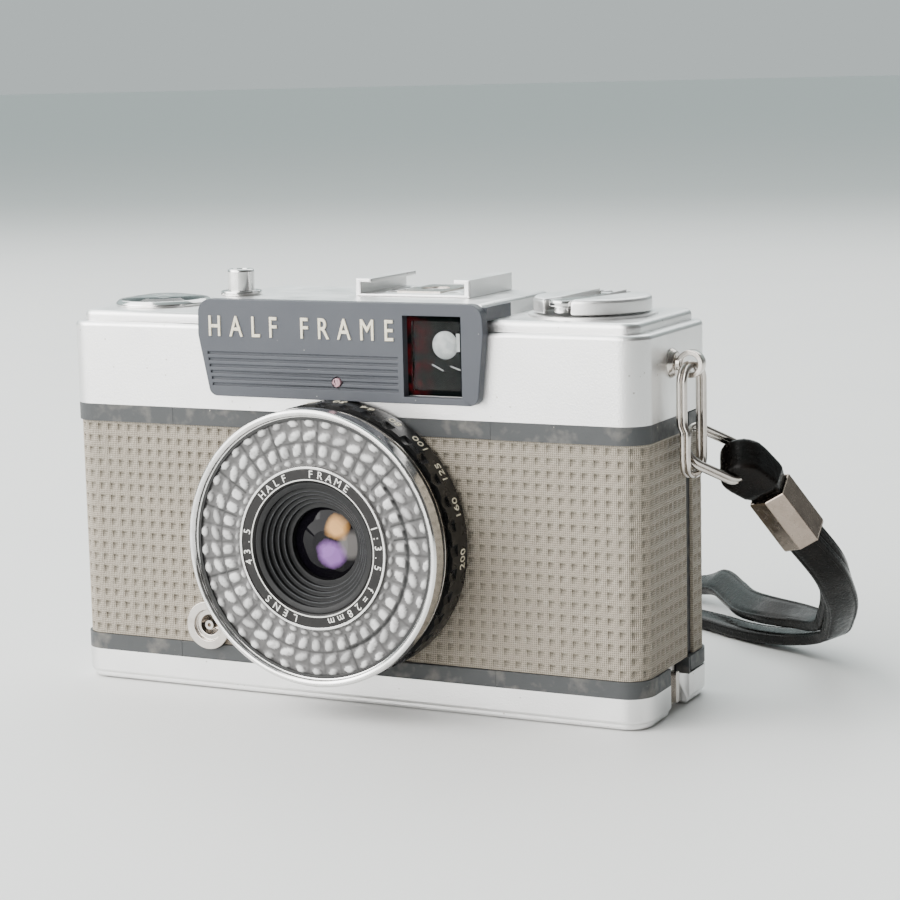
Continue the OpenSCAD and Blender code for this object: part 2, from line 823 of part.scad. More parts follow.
// One strand beside the pair's line
pair_end = len(strap_pair) - 1;
function pair_way(i) =
    unit(spot(strap_pair[min(i + 1, pair_end)]) - spot(strap_pair[max(i - 1, 0)]));
function beside(i, s) = let (q = strap_pair[i], v = pair_way(i), w = square_to(v, width_way(q)))
    concat(spot(q) + s * strand_gap * cross(v, w), [q[3], q[4]]);
strap_route = concat([mouth(1)], [for (i = [0 : pair_end]) beside(i, 1)], strap_single,
    [for (i = [pair_end : -1 : 0]) beside(i, -1)], [mouth(-1)]);

// Smooth curve through the route's points
function curve(a, b, c, d, s) = 0.5 * (2 * b + (c - a) * s + (2 * a - 5 * b + 4 * c - d) * s * s
    + (3 * b - a - 3 * c + d) * s * s * s);
function route_at(i, s) = let (n = len(strap_route) - 1)
    curve(strap_route[max(i - 1, 0)], strap_route[i], strap_route[min(i + 1, n)],
          strap_route[min(i + 2, n)], s);
route_fine = concat(
    [for (i = [0 : len(strap_route) - 2], k = [0 : strap_steps - 1]) route_at(i, k / strap_steps)],
    [strap_route[len(strap_route) - 1]]);
function along(i) = let (n = len(route_fine) - 1)
    i == 0 ? unit(clamp_dir) : i == n ? -unit(clamp_dir)
    : unit(spot(route_fine[i + 1]) - spot(route_fine[i - 1]));
function across(i) = square_to(along(i), width_way(route_fine[i]));

// Cross-section of a strand: a flat bar with cut corners
strand_cut = 0.4;
strand_edge = [for (q = [[1, -1], [1, 1], [-1, 1], [-1, -1]], m = [0, 1])
    let (sx = q[0], sy = q[1], first = (sx * sy > 0) ? m : 1 - m)
    [sx * (strap_w / 2 - (first == 0 ? 0 : strand_cut)), sy * (strap_t / 2 - (first == 0 ? strand_cut : 0))]];

module strap() color("#1c1c1e") {
    n = len(route_fine);
    k = len(strand_edge);
    rings = [for (i = [0 : n - 1]) let (w = across(i), u = cross(along(i), w))
        for (q = strand_edge) spot(route_fine[i]) + q[0] * w + q[1] * u];
    sides = [for (i = [0 : n - 2], j = [0 : k - 1])
        [i * k + j, i * k + (j + 1) % k, (i + 1) * k + (j + 1) % k, (i + 1) * k + j]];
    tris = [for (f = sides) each [[f[0], f[2], f[1]], [f[0], f[3], f[2]]]];
    ends = [[for (j = [0 : k - 1]) j], [for (j = [k - 1 : -1 : 0]) (n - 1) * k + j]];
    polyhedron(points = rings, faces = concat(tris, ends), convexity = 6);
}

// ---- lens ----

module lens_base() color("#2a2b2d") {
    difference() {
        lens_ring(20.5, shutter_r, base_y, front_y + skin_in);
        lens_ring(30, 19.4, base_y - 1, base_y);
    }
    lens_ring(19.4, 17.6, grip_y + 0.2, base_y);
}

module speed_ring() color("#161718") {
    scallops = 36;
    difference() {
        lens_ring(rim_r + 0.1, 19.7, grip_y, base_y - 0.15);
        for (i = [0 : scallops - 1])
            translate([lens_x, 0, lens_z]) rotate([0, i * 360 / scallops, 0])
                bar_y(rim_r + 1.3, 0, 1.6, grip_y - 1, grip_y + 1.9);
    }
}

module lens_barrel() color("#1b1c1e") {
    lens_ring(22.4, 15.2, bezel_y + 2.6, grip_y - 0.2);
    lens_ring(22.4, 21.9, bezel_y, bezel_y + 2.6);
    lens_ring(17.4, 15.2, grip_y - 0.2, base_y);
}

module front_ring() color("silver") {
    lens_turn([[21.9, 0.3], [22.3, 0], [rim_r - 0.3, 0], [rim_r, 0.3], [rim_r, 2.9], [21.6, 2.9],
               [21.6, 1.0], [21.9, 0.85]]);
}

module bubble_window() color("lightgray") {
    lens_turn([[name_r + 0.1, 1.2], [21.6, 1.0], [21.6, 2.0], [name_r + 0.1, 2.0]]);
}

module selenium_cell() color("#9a9a9c") {
    lens_ring(21.4, name_r + 0.1, cell_y, cell_y + 1.0);
}

module name_ring() color("#2a2522") {
    lens_turn([[bore_r + 1.0, 1.3], [11.3, 0.9], [name_r - 0.4, 0.9], [name_r, 1.3], [name_r, 5.0],
               [bore_r + 1.0, 5.0]]);
}

module lens_tube() color("#1b1c1e") {
    steps = 5;
    drop = 0.75;
    lens_turn(concat([[bore_r + 1.0, 1.3]],
        [for (i = [0 : steps - 1]) each [[bore_r - i * 0.72, 1.5 + i * drop], [bore_r - i * 0.72, 1.5 + (i + 1) * drop]]],
        [[glass_r, 1.5 + steps * drop], [glass_r, 11], [15.2, 11], [15.2, 8.6], [bore_r + 1.0, 8.6]]));
}

module front_element() color("lightblue") {
    lens_turn([[0, 4.9], [2.2, 5.05], [4.2, 5.5], [glass_r, 6.3], [glass_r, 8.2], [3.5, 7.4], [0, 7.2]]);
}

module rear_element() color("lightblue") {
    lens_turn([[0, 14.4], [5.2, 14.8], [5.2, 16.6], [0, 17.4]]);
}

module shutter_housing() color("dimgray") {
    lens_turn([[shutter_r, 11], [13.4, 11], [13.4, 13.0], [5.2, 13.0], [5.2, 18.4], [shutter_r, 18.4]]);
}

module shutter_blades() color("#303236") {
    for (s = [-1, 1]) difference() {
        translate([lens_x, rim_y + 11.2 + (s > 0 ? 0.4 : 0), lens_z]) rotate([-90, 0, 0])
            linear_extrude(0.3) difference() {
                circle(r = 12.8);
                translate([0, s * 10.2]) square([26, 20], center = true);
            }
    }
}

chassis();
front_plate();
leatherette_left();
leatherette_right();
bottom_cover();
top_cover();
front_panel();
index_dot();
window_glass();
finder_tunnel();
finder_lens();
eyepiece_frame();
eyepiece_glass();
shutter_button();
button_collar();
counter_bezel();
counter_dial();
counter_glass();
accessory_shoe();
shoe_spring();
shoe_screws();
rewind_knob();
rewind_crank();
crank_pin();
rewind_shaft();
rewind_sleeve();
lug_right();
lug_left();
split_ring();
link_ring();
strap_loop();
strap_clamp();
strap();
back_door();
door_leatherette();
pressure_plate();
pressure_spring();
hinge_pin();
door_latch();
take_up_spool();
sprocket_shaft();
thumbwheel();
rewind_release();
tripod_socket();
base_screws();
pc_socket();
pc_contact();
lens_base();
speed_ring();
lens_barrel();
front_ring();
bubble_window();
selenium_cell();
name_ring();
lens_tube();
front_element();
rear_element();
shutter_housing();
shutter_blades();
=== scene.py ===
"""Looks of the half frame camera: finishes, fine detail, strap, light and view.

All shapes are worked out in millimetres of the shared frame and turned into
metres when a mesh is made.
"""

import math
import random

import bmesh
import bpy
from mathutils import Matrix, Vector


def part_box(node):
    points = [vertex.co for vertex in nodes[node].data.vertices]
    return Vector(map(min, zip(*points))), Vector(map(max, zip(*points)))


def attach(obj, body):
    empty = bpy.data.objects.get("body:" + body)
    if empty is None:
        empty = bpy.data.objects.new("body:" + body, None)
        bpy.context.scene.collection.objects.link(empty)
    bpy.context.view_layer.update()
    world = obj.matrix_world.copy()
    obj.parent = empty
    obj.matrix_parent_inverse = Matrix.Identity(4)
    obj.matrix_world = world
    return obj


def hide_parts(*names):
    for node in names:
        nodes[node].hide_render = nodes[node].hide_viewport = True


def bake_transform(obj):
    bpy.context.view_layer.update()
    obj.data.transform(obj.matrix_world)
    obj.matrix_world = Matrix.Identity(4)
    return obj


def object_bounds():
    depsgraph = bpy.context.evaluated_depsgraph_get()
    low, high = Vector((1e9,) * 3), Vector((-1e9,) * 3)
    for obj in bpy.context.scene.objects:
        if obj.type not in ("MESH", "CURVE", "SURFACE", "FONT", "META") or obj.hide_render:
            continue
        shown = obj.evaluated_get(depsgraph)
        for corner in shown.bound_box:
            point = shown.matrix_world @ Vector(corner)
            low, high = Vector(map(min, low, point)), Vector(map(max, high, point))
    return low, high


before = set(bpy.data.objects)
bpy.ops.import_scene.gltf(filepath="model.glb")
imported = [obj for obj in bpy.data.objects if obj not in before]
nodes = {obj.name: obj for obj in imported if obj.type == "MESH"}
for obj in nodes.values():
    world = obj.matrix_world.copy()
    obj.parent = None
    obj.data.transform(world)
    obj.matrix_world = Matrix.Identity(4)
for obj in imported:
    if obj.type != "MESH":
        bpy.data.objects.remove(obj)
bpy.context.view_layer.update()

MM = 0.001


def box_mm(node):
    """Lowest and highest corner of a CAD node in millimetres."""
    low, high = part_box(node)
    return low / MM, high / MM


def radius_of(node):
    """Half the width of a round CAD node in millimetres."""
    low, high = box_mm(node)
    return (high.x - low.x) / 2


def middle_of(node):
    """Middle of a CAD node's box in millimetres."""
    return [(a + b) / 2 for a, b in zip(*box_mm(node))]


def to_scene(obj):
    bpy.context.scene.collection.objects.link(obj)


# ---------------- camera

CAMERA_AT = (0.19109, -0.36252, 0.10381)
CAMERA_AZIMUTH = 26.2
CAMERA_ELEVATION = 8.76
CAMERA_ROLL = -1.32
FOCAL_MM = 96.19


def make_camera():
    azimuth, elevation, roll = map(math.radians, (CAMERA_AZIMUTH, CAMERA_ELEVATION, CAMERA_ROLL))
    back = Vector((
        math.sin(azimuth) * math.cos(elevation),
        -math.cos(azimuth) * math.cos(elevation),
        math.sin(elevation),
    ))
    level = Vector((math.cos(azimuth), math.sin(azimuth), 0))
    upright = back.cross(level)
    right = math.cos(roll) * level + math.sin(roll) * upright
    up = math.cos(roll) * upright - math.sin(roll) * level
    data = bpy.data.cameras.new("photo_camera")
    data.lens = FOCAL_MM
    data.sensor_width = 36
    camera = bpy.data.objects.new("photo_camera", data)
    turn = Matrix((right, up, back)).transposed().to_4x4()
    camera.matrix_world = Matrix.Translation(CAMERA_AT) @ turn
    to_scene(camera)
    bpy.context.scene.camera = camera


make_camera()


# ---------------- finishes


class Nodes:
    """The shader nodes of a material or of the room."""

    def __init__(self, owner):
        owner.use_nodes = True
        self.tree = owner.node_tree

    def add(self, kind, **settings):
        node = self.tree.nodes.new(kind)
        for key, value in settings.items():
            setattr(node, key, value)
        return node

    def join(self, source, target):
        self.tree.links.new(source, target)

    def feed(self, target, value):
        """Gives an input a number, a colour or another node's output."""
        if isinstance(value, (int, float)):
            target.default_value = value
        elif isinstance(value, tuple):
            target.default_value = (*value, 1)
        else:
            self.join(value, target)

    def axis(self, vector, index):
        node = self.add("ShaderNodeSeparateXYZ")
        self.join(vector, node.inputs[0])
        return node.outputs[index]

    def span(self, value, low, high, out_low=0.0, out_high=1.0, **settings):
        """value from low to high becomes out_low to out_high, and no further."""
        node = self.add("ShaderNodeMapRange", **settings)
        self.join(value, node.inputs["Value"])
        for socket, number in zip(("From Min", "From Max", "To Min", "To Max"),
                                  (low, high, out_low, out_high)):
            node.inputs[socket].default_value = number
        return node.outputs["Result"]

    def mix(self, amount, first, second):
        """Colour going from first to second as amount goes from 0 to 1."""
        node = self.add("ShaderNodeMix", data_type="RGBA")
        for index, value in ((0, amount), (6, first), (7, second)):
            self.feed(node.inputs[index], value)
        return node.outputs[2]


class Finish(Nodes):
    """A procedural material. Its textures are measured in millimetres."""

    def __init__(self, name, color, roughness, metallic=0.0, **sockets):
        self.mat = bpy.data.materials.new(name)
        super().__init__(self.mat)
        self.shader = self.tree.nodes["Principled BSDF"]
        self.shader.inputs["Base Color"].default_value = (*color, 1)
        self.shader.inputs["Roughness"].default_value = roughness
        self.shader.inputs["Metallic"].default_value = metallic
        for socket, value in sockets.items():
            self.shader.inputs[socket.replace("_", " ")].default_value = value
        coord = self.add("ShaderNodeTexCoord")
        scale = self.add("ShaderNodeMapping")
        scale.inputs["Scale"].default_value = (1 / MM,) * 3
        self.join(coord.outputs["Object"], scale.inputs["Vector"])
        self.mm = scale.outputs["Vector"]
        self.normal = None
        self.base = color

    def noise(self, size, detail):
        node = self.add("ShaderNodeTexNoise")
        node.inputs["Scale"].default_value = 1 / size
        node.inputs["Detail"].default_value = detail
        self.join(self.mm, node.inputs["Vector"])
        return node.outputs["Fac"]

    def cells(self, size):
        node = self.add("ShaderNodeTexVoronoi")
        node.inputs["Scale"].default_value = 1 / size
        self.join(self.mm, node.inputs["Vector"])
        return node.outputs["Distance"]

    def attribute(self, name):
        return self.add("ShaderNodeAttribute", attribute_name=name).outputs["Fac"]

    def math(self, operation, a, b=0.0):
        node = self.add("ShaderNodeMath", operation=operation)
        self.feed(node.inputs[0], a)
        self.feed(node.inputs[1], b)
        return node.outputs[0]

    def tint(self, amount, color):
        """Turns the base colour towards color where amount is 1."""
        self.base = self.mix(amount, self.base, color)
        self.join(self.base, self.shader.inputs["Base Color"])

    def bump(self, height, depth_mm):
        node = self.add("ShaderNodeBump")
        node.inputs["Distance"].default_value = depth_mm * MM
        self.join(height, node.inputs["Height"])
        if self.normal:
            self.join(self.normal, node.inputs["Normal"])
        self.normal = node.outputs["Normal"]
        self.join(self.normal, self.shader.inputs["Normal"])

    def patches(self, color, size, detail, low, high, share=1.0):
        """Blotches of another colour where the noise lies above low, up to a share of it."""
        self.tint(self.span(self.noise(size, detail), low, high, 0, share), color)

    def roughness(self, size, least, most, detail=4, low=0.3, high=0.7):
        """Uneven gloss: roughness from least to most."""
        self.join(self.span(self.noise(size, detail), low, high, least, most),
                  self.shader.inputs["Roughness"])

    def grain(self, size, detail, depth_mm):
        """Fine relief all over; gives the finished material."""
        self.bump(self.noise(size, detail), depth_mm)
        return self.mat


def satin_chrome():
    f = Finish("satin_chrome", (0.86, 0.855, 0.85), 0.36, 1.0)
    f.patches((0.66, 0.655, 0.65), 14, 4, 0.45, 0.78, 0.3)
    f.tint(f.span(f.cells(2.6), 0.04, 0.08, 0.7, 0), (0.40, 0.37, 0.34))
    f.roughness(5, 0.30, 0.44, 5, 0.3, 0.75)
    return f.grain(0.26, 3, 0.034)


def bright_chrome():
    f = Finish("bright_chrome", (0.80, 0.79, 0.78), 0.12, 1.0)
    f.patches((0.55, 0.54, 0.52), 3, 5, 0.5, 0.72, 0.5)
    f.roughness(1.2, 0.08, 0.24, 5, 0.35, 0.75)
    return f.grain(0.6, 4, 0.006)


def plain_steel():
    f = Finish("plain_steel", (0.60, 0.56, 0.52), 0.2, 1.0)
    f.patches((0.34, 0.29, 0.25), 2.6, 4, 0.45, 0.75, 0.5)
    f.roughness(1.8, 0.12, 0.26)
    return f.grain(2.0, 2, 0.002)


GREY_PAINT = (0.066, 0.071, 0.084)


def grey_enamel():
    f = Finish("grey_enamel", GREY_PAINT, 0.4, Specular_IOR_Level=0.3)
    f.patches((0.080, 0.086, 0.098), 7, 4, 0.35, 0.75, 0.5)
    f.tint(f.span(f.cells(3.1), 0.02, 0.045, 0.6, 0), (0.38, 0.38, 0.36))
    f.roughness(2, 0.34, 0.5)
    return f.grain(0.25, 3, 0.014)


def die_cast():
    """Painted and worn on the outer trims, matt black inside."""
    f = Finish("die_cast", (0.012, 0.012, 0.013), 0.5, Specular_IOR_Level=0.35)
    half_w, half_d, _ = box_mm("bottom_cover")[1]
    outward = f.math("MAXIMUM",
                     f.math("SUBTRACT", f.math("ABSOLUTE", f.axis(f.mm, 0)), half_w),
                     f.math("SUBTRACT", f.math("ABSOLUTE", f.axis(f.mm, 1)), half_d))
    painted = f.span(outward, -2.4, -2.2)
    f.tint(painted, (0.051, 0.054, 0.056))
    worn = f.math("MULTIPLY", painted, f.span(f.noise(3.5, 6), 0.54, 0.80))
    f.tint(worn, (0.165, 0.155, 0.14))
    chips = f.math("MULTIPLY", painted, f.span(f.noise(1.3, 3), 0.74, 0.76))
    f.tint(chips, (0.40, 0.37, 0.32))
    f.roughness(1.5, 0.34, 0.58)
    return f.grain(0.5, 4, 0.03)


def black_enamel():
    f = Finish("black_enamel", (0.006, 0.006, 0.006), 0.28, Specular_IOR_Level=0.35)
    f.patches((0.07, 0.068, 0.063), 0.9, 6, 0.66, 0.76)
    f.roughness(2.5, 0.2, 0.42)
    return f.grain(0.3, 3, 0.01)


def leatherette():
    """Embossed cloth: square pits in the mesh with painted shade in them, fine threads between them."""
    f = Finish("leatherette", (0.40, 0.345, 0.275), 0.5)
    # Painted shade: the deeper a pit's floor, the darker it is painted.
    f.tint(f.span(f.attribute("pit_depth"), 0.1, 1, 0, 0.9), (0.10, 0.088, 0.066))
    f.patches((0.33, 0.295, 0.235), 9, 4, 0.42, 0.75, 0.4)
    f.patches((0.55, 0.50, 0.42), 1.2, 5, 0.56, 0.75, 0.4)
    across = f.math("SINE", f.attribute("thread_u"))
    along = f.math("SINE", f.attribute("thread_v"))
    threads = f.math("ADD", across, along)
    f.tint(f.span(threads, -1.4, 0.3, 0.85, 0), (0.13, 0.115, 0.085))
    f.roughness(2, 0.46, 0.64)
    f.bump(threads, 0.035)
    return f.grain(0.2, 3, 0.03)


def ridge_grey():
    """Painted glints on the edges of the steps in the lens recess."""
    f = Finish("ridge_grey", (0.075, 0.078, 0.084), 0.4, 0.4)
    f.patches((0.022, 0.023, 0.026), 1.5, 5, 0.4, 0.7)
    return f.grain(0.3, 2, 0.005)


def clamp_steel():
    # The warm brown of this steel is a painted reflection of a wooden table.
    f = Finish("clamp_steel", (0.36, 0.295, 0.245), 0.22, 1.0)
    f.patches((0.24, 0.19, 0.155), 2.2, 5, 0.5, 0.75, 0.6)
    f.roughness(1.2, 0.16, 0.32)
    return f.grain(0.6, 3, 0.004)


def strap_leather():
    f = Finish("strap_leather", (0.002, 0.0016, 0.0013), 0.26, Specular_IOR_Level=0.13)
    f.patches((0.006, 0.004, 0.003), 4, 4, 0.45, 0.75)
    f.patches((0.02, 0.016, 0.013), 0.7, 5, 0.68, 0.78, 0.5)
    f.roughness(1.2, 0.2, 0.38, 5)
    f.bump(f.cells(0.42), 0.025)
    return f.grain(1.6, 3, 0.06)


def black_plastic():
    f = Finish("black_plastic", (0.012, 0.012, 0.012), 0.42)
    f.patches((0.035, 0.034, 0.032), 2.2, 5, 0.5, 0.75, 0.6)
    f.roughness(1.0, 0.34, 0.52)
    return f.grain(0.25, 3, 0.015)


def lens_black():
    """Matt black of the ridged recess around the front element."""
    f = Finish("lens_black", (0.006, 0.006, 0.0065), 0.45, Specular_IOR_Level=0.3)
    f.patches((0.02, 0.02, 0.021), 1.8, 5, 0.55, 0.78, 0.5)
    f.roughness(0.9, 0.34, 0.5)
    return f.grain(0.2, 2, 0.008)


def lenslet_plastic():
    """Clear moulded bubbles over the grey cell: painted highlights on the domes, painted shade in the
    valleys.
    """
    f = Finish("lenslet_plastic", (0.105, 0.102, 0.102), 0.12, Specular_IOR_Level=0.4)
    # Painted highlight on the bubble tops, then painted shade in the gaps and where the rim shades
    f.tint(f.span(f.attribute("bubble_light_shade"), 0.12, 0.62), (0.66, 0.655, 0.65))
    f.patches((0.16, 0.155, 0.155), 1.1, 4, 0.52, 0.70, 0.55)
    f.tint(f.span(f.attribute("bubble_light_shade"), 0.0, -0.75), (0.012, 0.012, 0.012))
    f.roughness(0.8, 0.06, 0.2, 3)
    return f.grain(0.9, 3, 0.05)


def meter_cell():
    f = Finish("meter_cell", (0.30, 0.29, 0.28), 0.4, 0.3)
    f.patches((0.16, 0.155, 0.16), 0.7, 4, 0.4, 0.7)
    return f.grain(0.4, 3, 0.02)


def name_plate():
    f = Finish("name_plate", (0.010, 0.009, 0.009), 0.36, Specular_IOR_Level=0.3)
    f.patches((0.028, 0.024, 0.023), 1.3, 5, 0.55, 0.75, 0.7)
    f.roughness(0.9, 0.28, 0.44, 3)
    return f.grain(0.22, 3, 0.008)


def ink(name, color):
    f = Finish(name, color, 0.5)
    f.patches(tuple(0.55 * c for c in color), 0.5, 5, 0.52, 0.7, 0.5)
    return f.grain(0.15, 2, 0.012)


def optical_glass(name, color, ior, film_nm):
    f = Finish(name, color, 0.02, Transmission_Weight=1.0, IOR=ior,
               Thin_Film_Thickness=film_nm, Thin_Film_IOR=1.38)
    f.roughness(2.5, 0.01, 0.12, 5, 0.6, 0.85)
    return f.grain(6, 2, 0.002)


# Painted reflections in the front element, in the coatings' colours: place in millimetres, radius, colour
PAINTED_LENS_REFLECTIONS = (
    ((5.3, -22.2, 28.7), 2.6, (0.16, 0.15, 0.145)),
    ((1.75, -22.6, 27.1), 2.6, (0.28, 0.13, 0.40)),
    ((2.85, -22.6, 31.6), 2.2, (0.70, 0.37, 0.13)),
)


def coated_element():
    """Dark multi-element glass with painted reflections of its coatings: a pale, a violet and an amber one.
    """
    f = Finish("coated_element", (0.003, 0.0025, 0.004), 0.06, Specular_IOR_Level=0.16)
    for place, radius, color in PAINTED_LENS_REFLECTIONS:
        gap = f.add("ShaderNodeVectorMath", operation="DISTANCE")
        f.join(f.mm, gap.inputs[0])
        gap.inputs[1].default_value = place
        wavy = f.math("ADD", gap.outputs["Value"], f.span(f.noise(2.4, 3), 0.3, 0.7, -0.3, 0.3))
        # Paints each reflection as a soft-edged blob at a fixed place
        f.tint(f.span(wavy, radius + 0.15, radius - 1.1, 0, 0.9), color)
    f.roughness(2.5, 0.02, 0.14, 5, 0.55, 0.85)
    return f.grain(3, 2, 0.004)


def finder_dark():
    """Dark of the finder: painted shade for its inside, dusty, with a faint red cast on one side; also the
    window's border.
    """
    f = Finish("finder_dark", (0.002, 0.003, 0.003), 0.8, Specular_IOR_Level=0.0)
    left = box_mm("window_glass")[0].x
    side = f.span(f.axis(f.mm, 0), left, left + 4.5, 0.6, 0)
    f.tint(f.math("MULTIPLY", side, f.span(f.noise(1.5, 4), 0.4, 0.7)), (0.14, 0.006, 0.010))
    f.patches((0.03, 0.04, 0.04), 0.8, 6, 0.60, 0.78, 0.5)
    return f.grain(0.8, 4, 0.04)


def pale_disc():
    f = Finish("pale_disc", (0.36, 0.38, 0.38), 0.25, Coat_Weight=0.5)
    f.patches((0.55, 0.57, 0.56), 1.6, 4, 0.4, 0.7)
    return f.grain(0.7, 3, 0.03)


def floor_paper():
    f = Finish("floor_paper", (0.80, 0.80, 0.79), 0.5)
    f.patches((0.77, 0.775, 0.77), 60, 4, 0.4, 0.7, 0.4)
    return f.grain(0.8, 4, 0.02)


SATIN = satin_chrome()
BRIGHT = bright_chrome()
STEEL = plain_steel()
CLOTH = leatherette()
LEATHER = strap_leather()
PLASTIC = black_plastic()
RIDGE = ridge_grey()
BUBBLES = lenslet_plastic()
WHITE = ink("white_ink", (0.78, 0.77, 0.74))
CREAM = ink("cream_ink", (0.80, 0.74, 0.58))
DARK = ink("dark_ink", (0.02, 0.02, 0.02))
PINK = ink("pink_dot", (0.46, 0.27, 0.31))
CLEAR = optical_glass("clear_glass", (0.97, 0.98, 0.98), 1.18, 0)
COATED = optical_glass("coated_glass", (0.90, 0.86, 0.95), 1.6, 420)
FINDER = finder_dark()
DISC = pale_disc()

NODE_FINISHES = {
    SATIN: ("top_cover", "bottom_cover", "rewind_knob", "accessory_shoe"),
    BRIGHT: ("shutter_button", "button_collar", "counter_bezel", "front_ring", "rewind_crank",
             "tripod_socket", "rewind_release"),
    STEEL: ("lug_right", "lug_left", "pc_socket", "pc_contact", "split_ring", "link_ring", "shoe_spring",
            "shoe_screws", "crank_pin", "rewind_shaft", "rewind_sleeve", "hinge_pin", "door_latch",
            "base_screws", "pressure_spring", "sprocket_shaft"),
    grey_enamel(): ("front_panel",),
    die_cast(): ("chassis", "front_plate", "back_door"),
    black_enamel(): ("speed_ring", "lens_barrel", "lens_base", "pressure_plate",
                     "shutter_housing", "shutter_blades"),
    PLASTIC: ("finder_tunnel", "eyepiece_frame", "take_up_spool", "thumbwheel"),
    lens_black(): ("lens_tube",),
    name_plate(): ("name_ring",),
    meter_cell(): ("selenium_cell",),
    WHITE: ("counter_dial",),
    PINK: ("index_dot",),
    CLEAR: ("window_glass", "finder_lens", "eyepiece_glass", "counter_glass"),
    COATED: ("rear_element",),
    coated_element(): ("front_element",),
    clamp_steel(): ("strap_clamp",),
}


def paint_nodes():
    for material, names in NODE_FINISHES.items():
        for name in names:
            if name in nodes:
                data = nodes[name].data
                data.materials.clear()
                data.materials.append(material)


paint_nodes()


# ---------------- making pieces


def piece(name, mesh, body, material, replaces=()):
    """A new object from a mesh in metres, riding on a body."""
    mesh.name = name
    mesh.materials.clear()
    mesh.materials.append(material)
    obj = bpy.data.objects.new(name, mesh)
    to_scene(obj)
    if body:
        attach(obj, body)
    if replaces:
        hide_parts(*replaces)
    return obj


def mesh_from(points_mm, faces, smooth_angle=35):
    """A shaded mesh from points in millimetres."""
    mesh = bpy.data.meshes.new("piece")
    mesh.from_pydata([Vector(p) * MM for p in points_mm], [], faces)
    mesh.validate()
    mesh.update()
    shade(mesh, smooth_angle)
    return mesh


def mesh_of(work):
    """Turns an edited bmesh into a mesh."""
    mesh = bpy.data.meshes.new("piece")
    work.to_mesh(mesh)
    work.free()
    return mesh


def grid_faces(rows, across, wrap_rows=True, wrap_across=True):
    """Faces of a grid of points, kept row after row, that may close on itself either way."""
    faces = []
    for i in range(rows if wrap_rows else rows - 1):
        for j in range(across if wrap_across else across - 1):
            k, m = (i + 1) % rows, (j + 1) % across
            faces.append((i * across + j, i * across + m, k * across + m, k * across + j))
    return faces


def shade(mesh, angle):
    mesh.polygons.foreach_set("use_smooth", [True] * len(mesh.polygons))
    mesh.set_sharp_from_angle(angle=math.radians(angle))


def store(mesh, name, values):
    """Keeps one number per vertex for a finish to read."""
    mesh.attributes.new(name, "FLOAT", "POINT").data.foreach_set("value", values)


def evaluated(obj):
    """The mesh of an object with its modifiers applied."""
    return bpy.data.meshes.new_from_object(obj.evaluated_get(bpy.context.evaluated_depsgraph_get()))


def soften(name, width_mm, segments=3, angle=30):
    """Rounds the edges of a CAD node with modifiers, so they catch the light."""
    obj = nodes[name]
    weld = obj.modifiers.new("weld", "WELD")
    weld.merge_threshold = 0.002 * MM
    bevel = obj.modifiers.new("bevel", "BEVEL")
    bevel.width = width_mm * MM
    bevel.segments = segments
    bevel.angle_limit = math.radians(angle)
    bevel.use_clamp_overlap = False
    obj.modifiers.new("normals", "WEIGHTED_NORMAL").keep_sharp = True


SOFT_EDGES = {
    0.35: ("accessory_shoe",),
    0.3: ("rewind_knob", "strap_clamp", "eyepiece_frame"),
    0.2: ("rewind_crank", "shutter_button", "button_collar", "front_plate"),
    0.15: ("front_ring", "name_ring", "lug_right", "lug_left", "pc_socket", "lens_base",
           "counter_bezel", "door_latch", "index_dot"),
    0.12: ("front_panel",),
    0.1: ("lens_tube", "lens_barrel", "shoe_screws", "base_screws", "tripod_socket", "rewind_release"),
}
for edge_width, names in SOFT_EDGES.items():
    for soft_name in names:
        soften(soft_name, edge_width)


# ---------------- covers


def rounded_copy(name, new_name, edge_groups):
    """A copy of a CAD cover whose chosen edges are rounded: edge_groups are (test, width in mm)."""
    work = bmesh.new()
    work.from_mesh(nodes[name].data)
    bmesh.ops.remove_doubles(work, verts=work.verts, dist=0.002 * MM)
    bmesh.ops.dissolve_limit(work, angle_limit=math.radians(0.5), verts=work.verts, edges=work.edges)
    for test, width in edge_groups:
        chosen = [
            edge for edge in work.edges
            if len(edge.link_faces) == 2 and edge.is_convex
            and edge.calc_face_angle(0) > math.radians(30)
            and test(edge.verts[0].co / MM, edge.verts[1].co / MM)
        ]
        bmesh.ops.bevel(work, geom=chosen, offset=width * MM, segments=4, profile=0.5,
                        affect="EDGES", clamp_overlap=False)
    mesh = mesh_of(work)
    shade(mesh, 30)
    obj = piece(new_name, mesh, "camera", SATIN, (name,))
    obj.modifiers.new("normals", "WEIGHTED_NORMAL").keep_sharp = True


def at_level(level, holes=()):
    """Picks edges that lie at one height, away from round holes (x, y, radius)."""
    def test(a, b):
        middle = (a + b) / 2
        clear = all((middle.xy - Vector(h[:2])).length > h[2] + 0.3 for h in holes)
        return clear and abs(a.z - level) < 0.05 and abs(b.z - level) < 0.05
    return test


TIER_HIGH = 1.8
FOOT_HIGH = 0.9
# Tripod socket, rewind release and the two screws in the base: x, y and radius
BASE_HOLES = ((0, 0, 6), (-27, 4, 3), (46, -9, 2.5), (-46, -9, 2.5))


def make_covers():
    holes = []
    for name in ("button_collar", "rewind_knob", "counter_bezel"):
        holes.append((*middle_of(name)[:2], radius_of(name) + 1.0))
    shoe_bottom = box_mm("accessory_shoe")[0].z
    counter_base = box_mm("counter_bezel")[0].z
    rounded_copy("top_cover", "top_shell", [
        (at_level(shoe_bottom, holes), 0.7),
        (at_level(counter_base, holes), 0.9),
        (at_level(counter_base - TIER_HIGH, holes), 0.8),
    ])
    rounded_copy("bottom_cover", "bottom_shell", [
        (at_level(FOOT_HIGH), 0.6),
        (at_level(0.0, BASE_HOLES), 0.5),
    ])


make_covers()


# ---------------- leatherette


HALF_W, HALF_D, _ = box_mm("bottom_cover")[1]
CORNER_R = 4.5
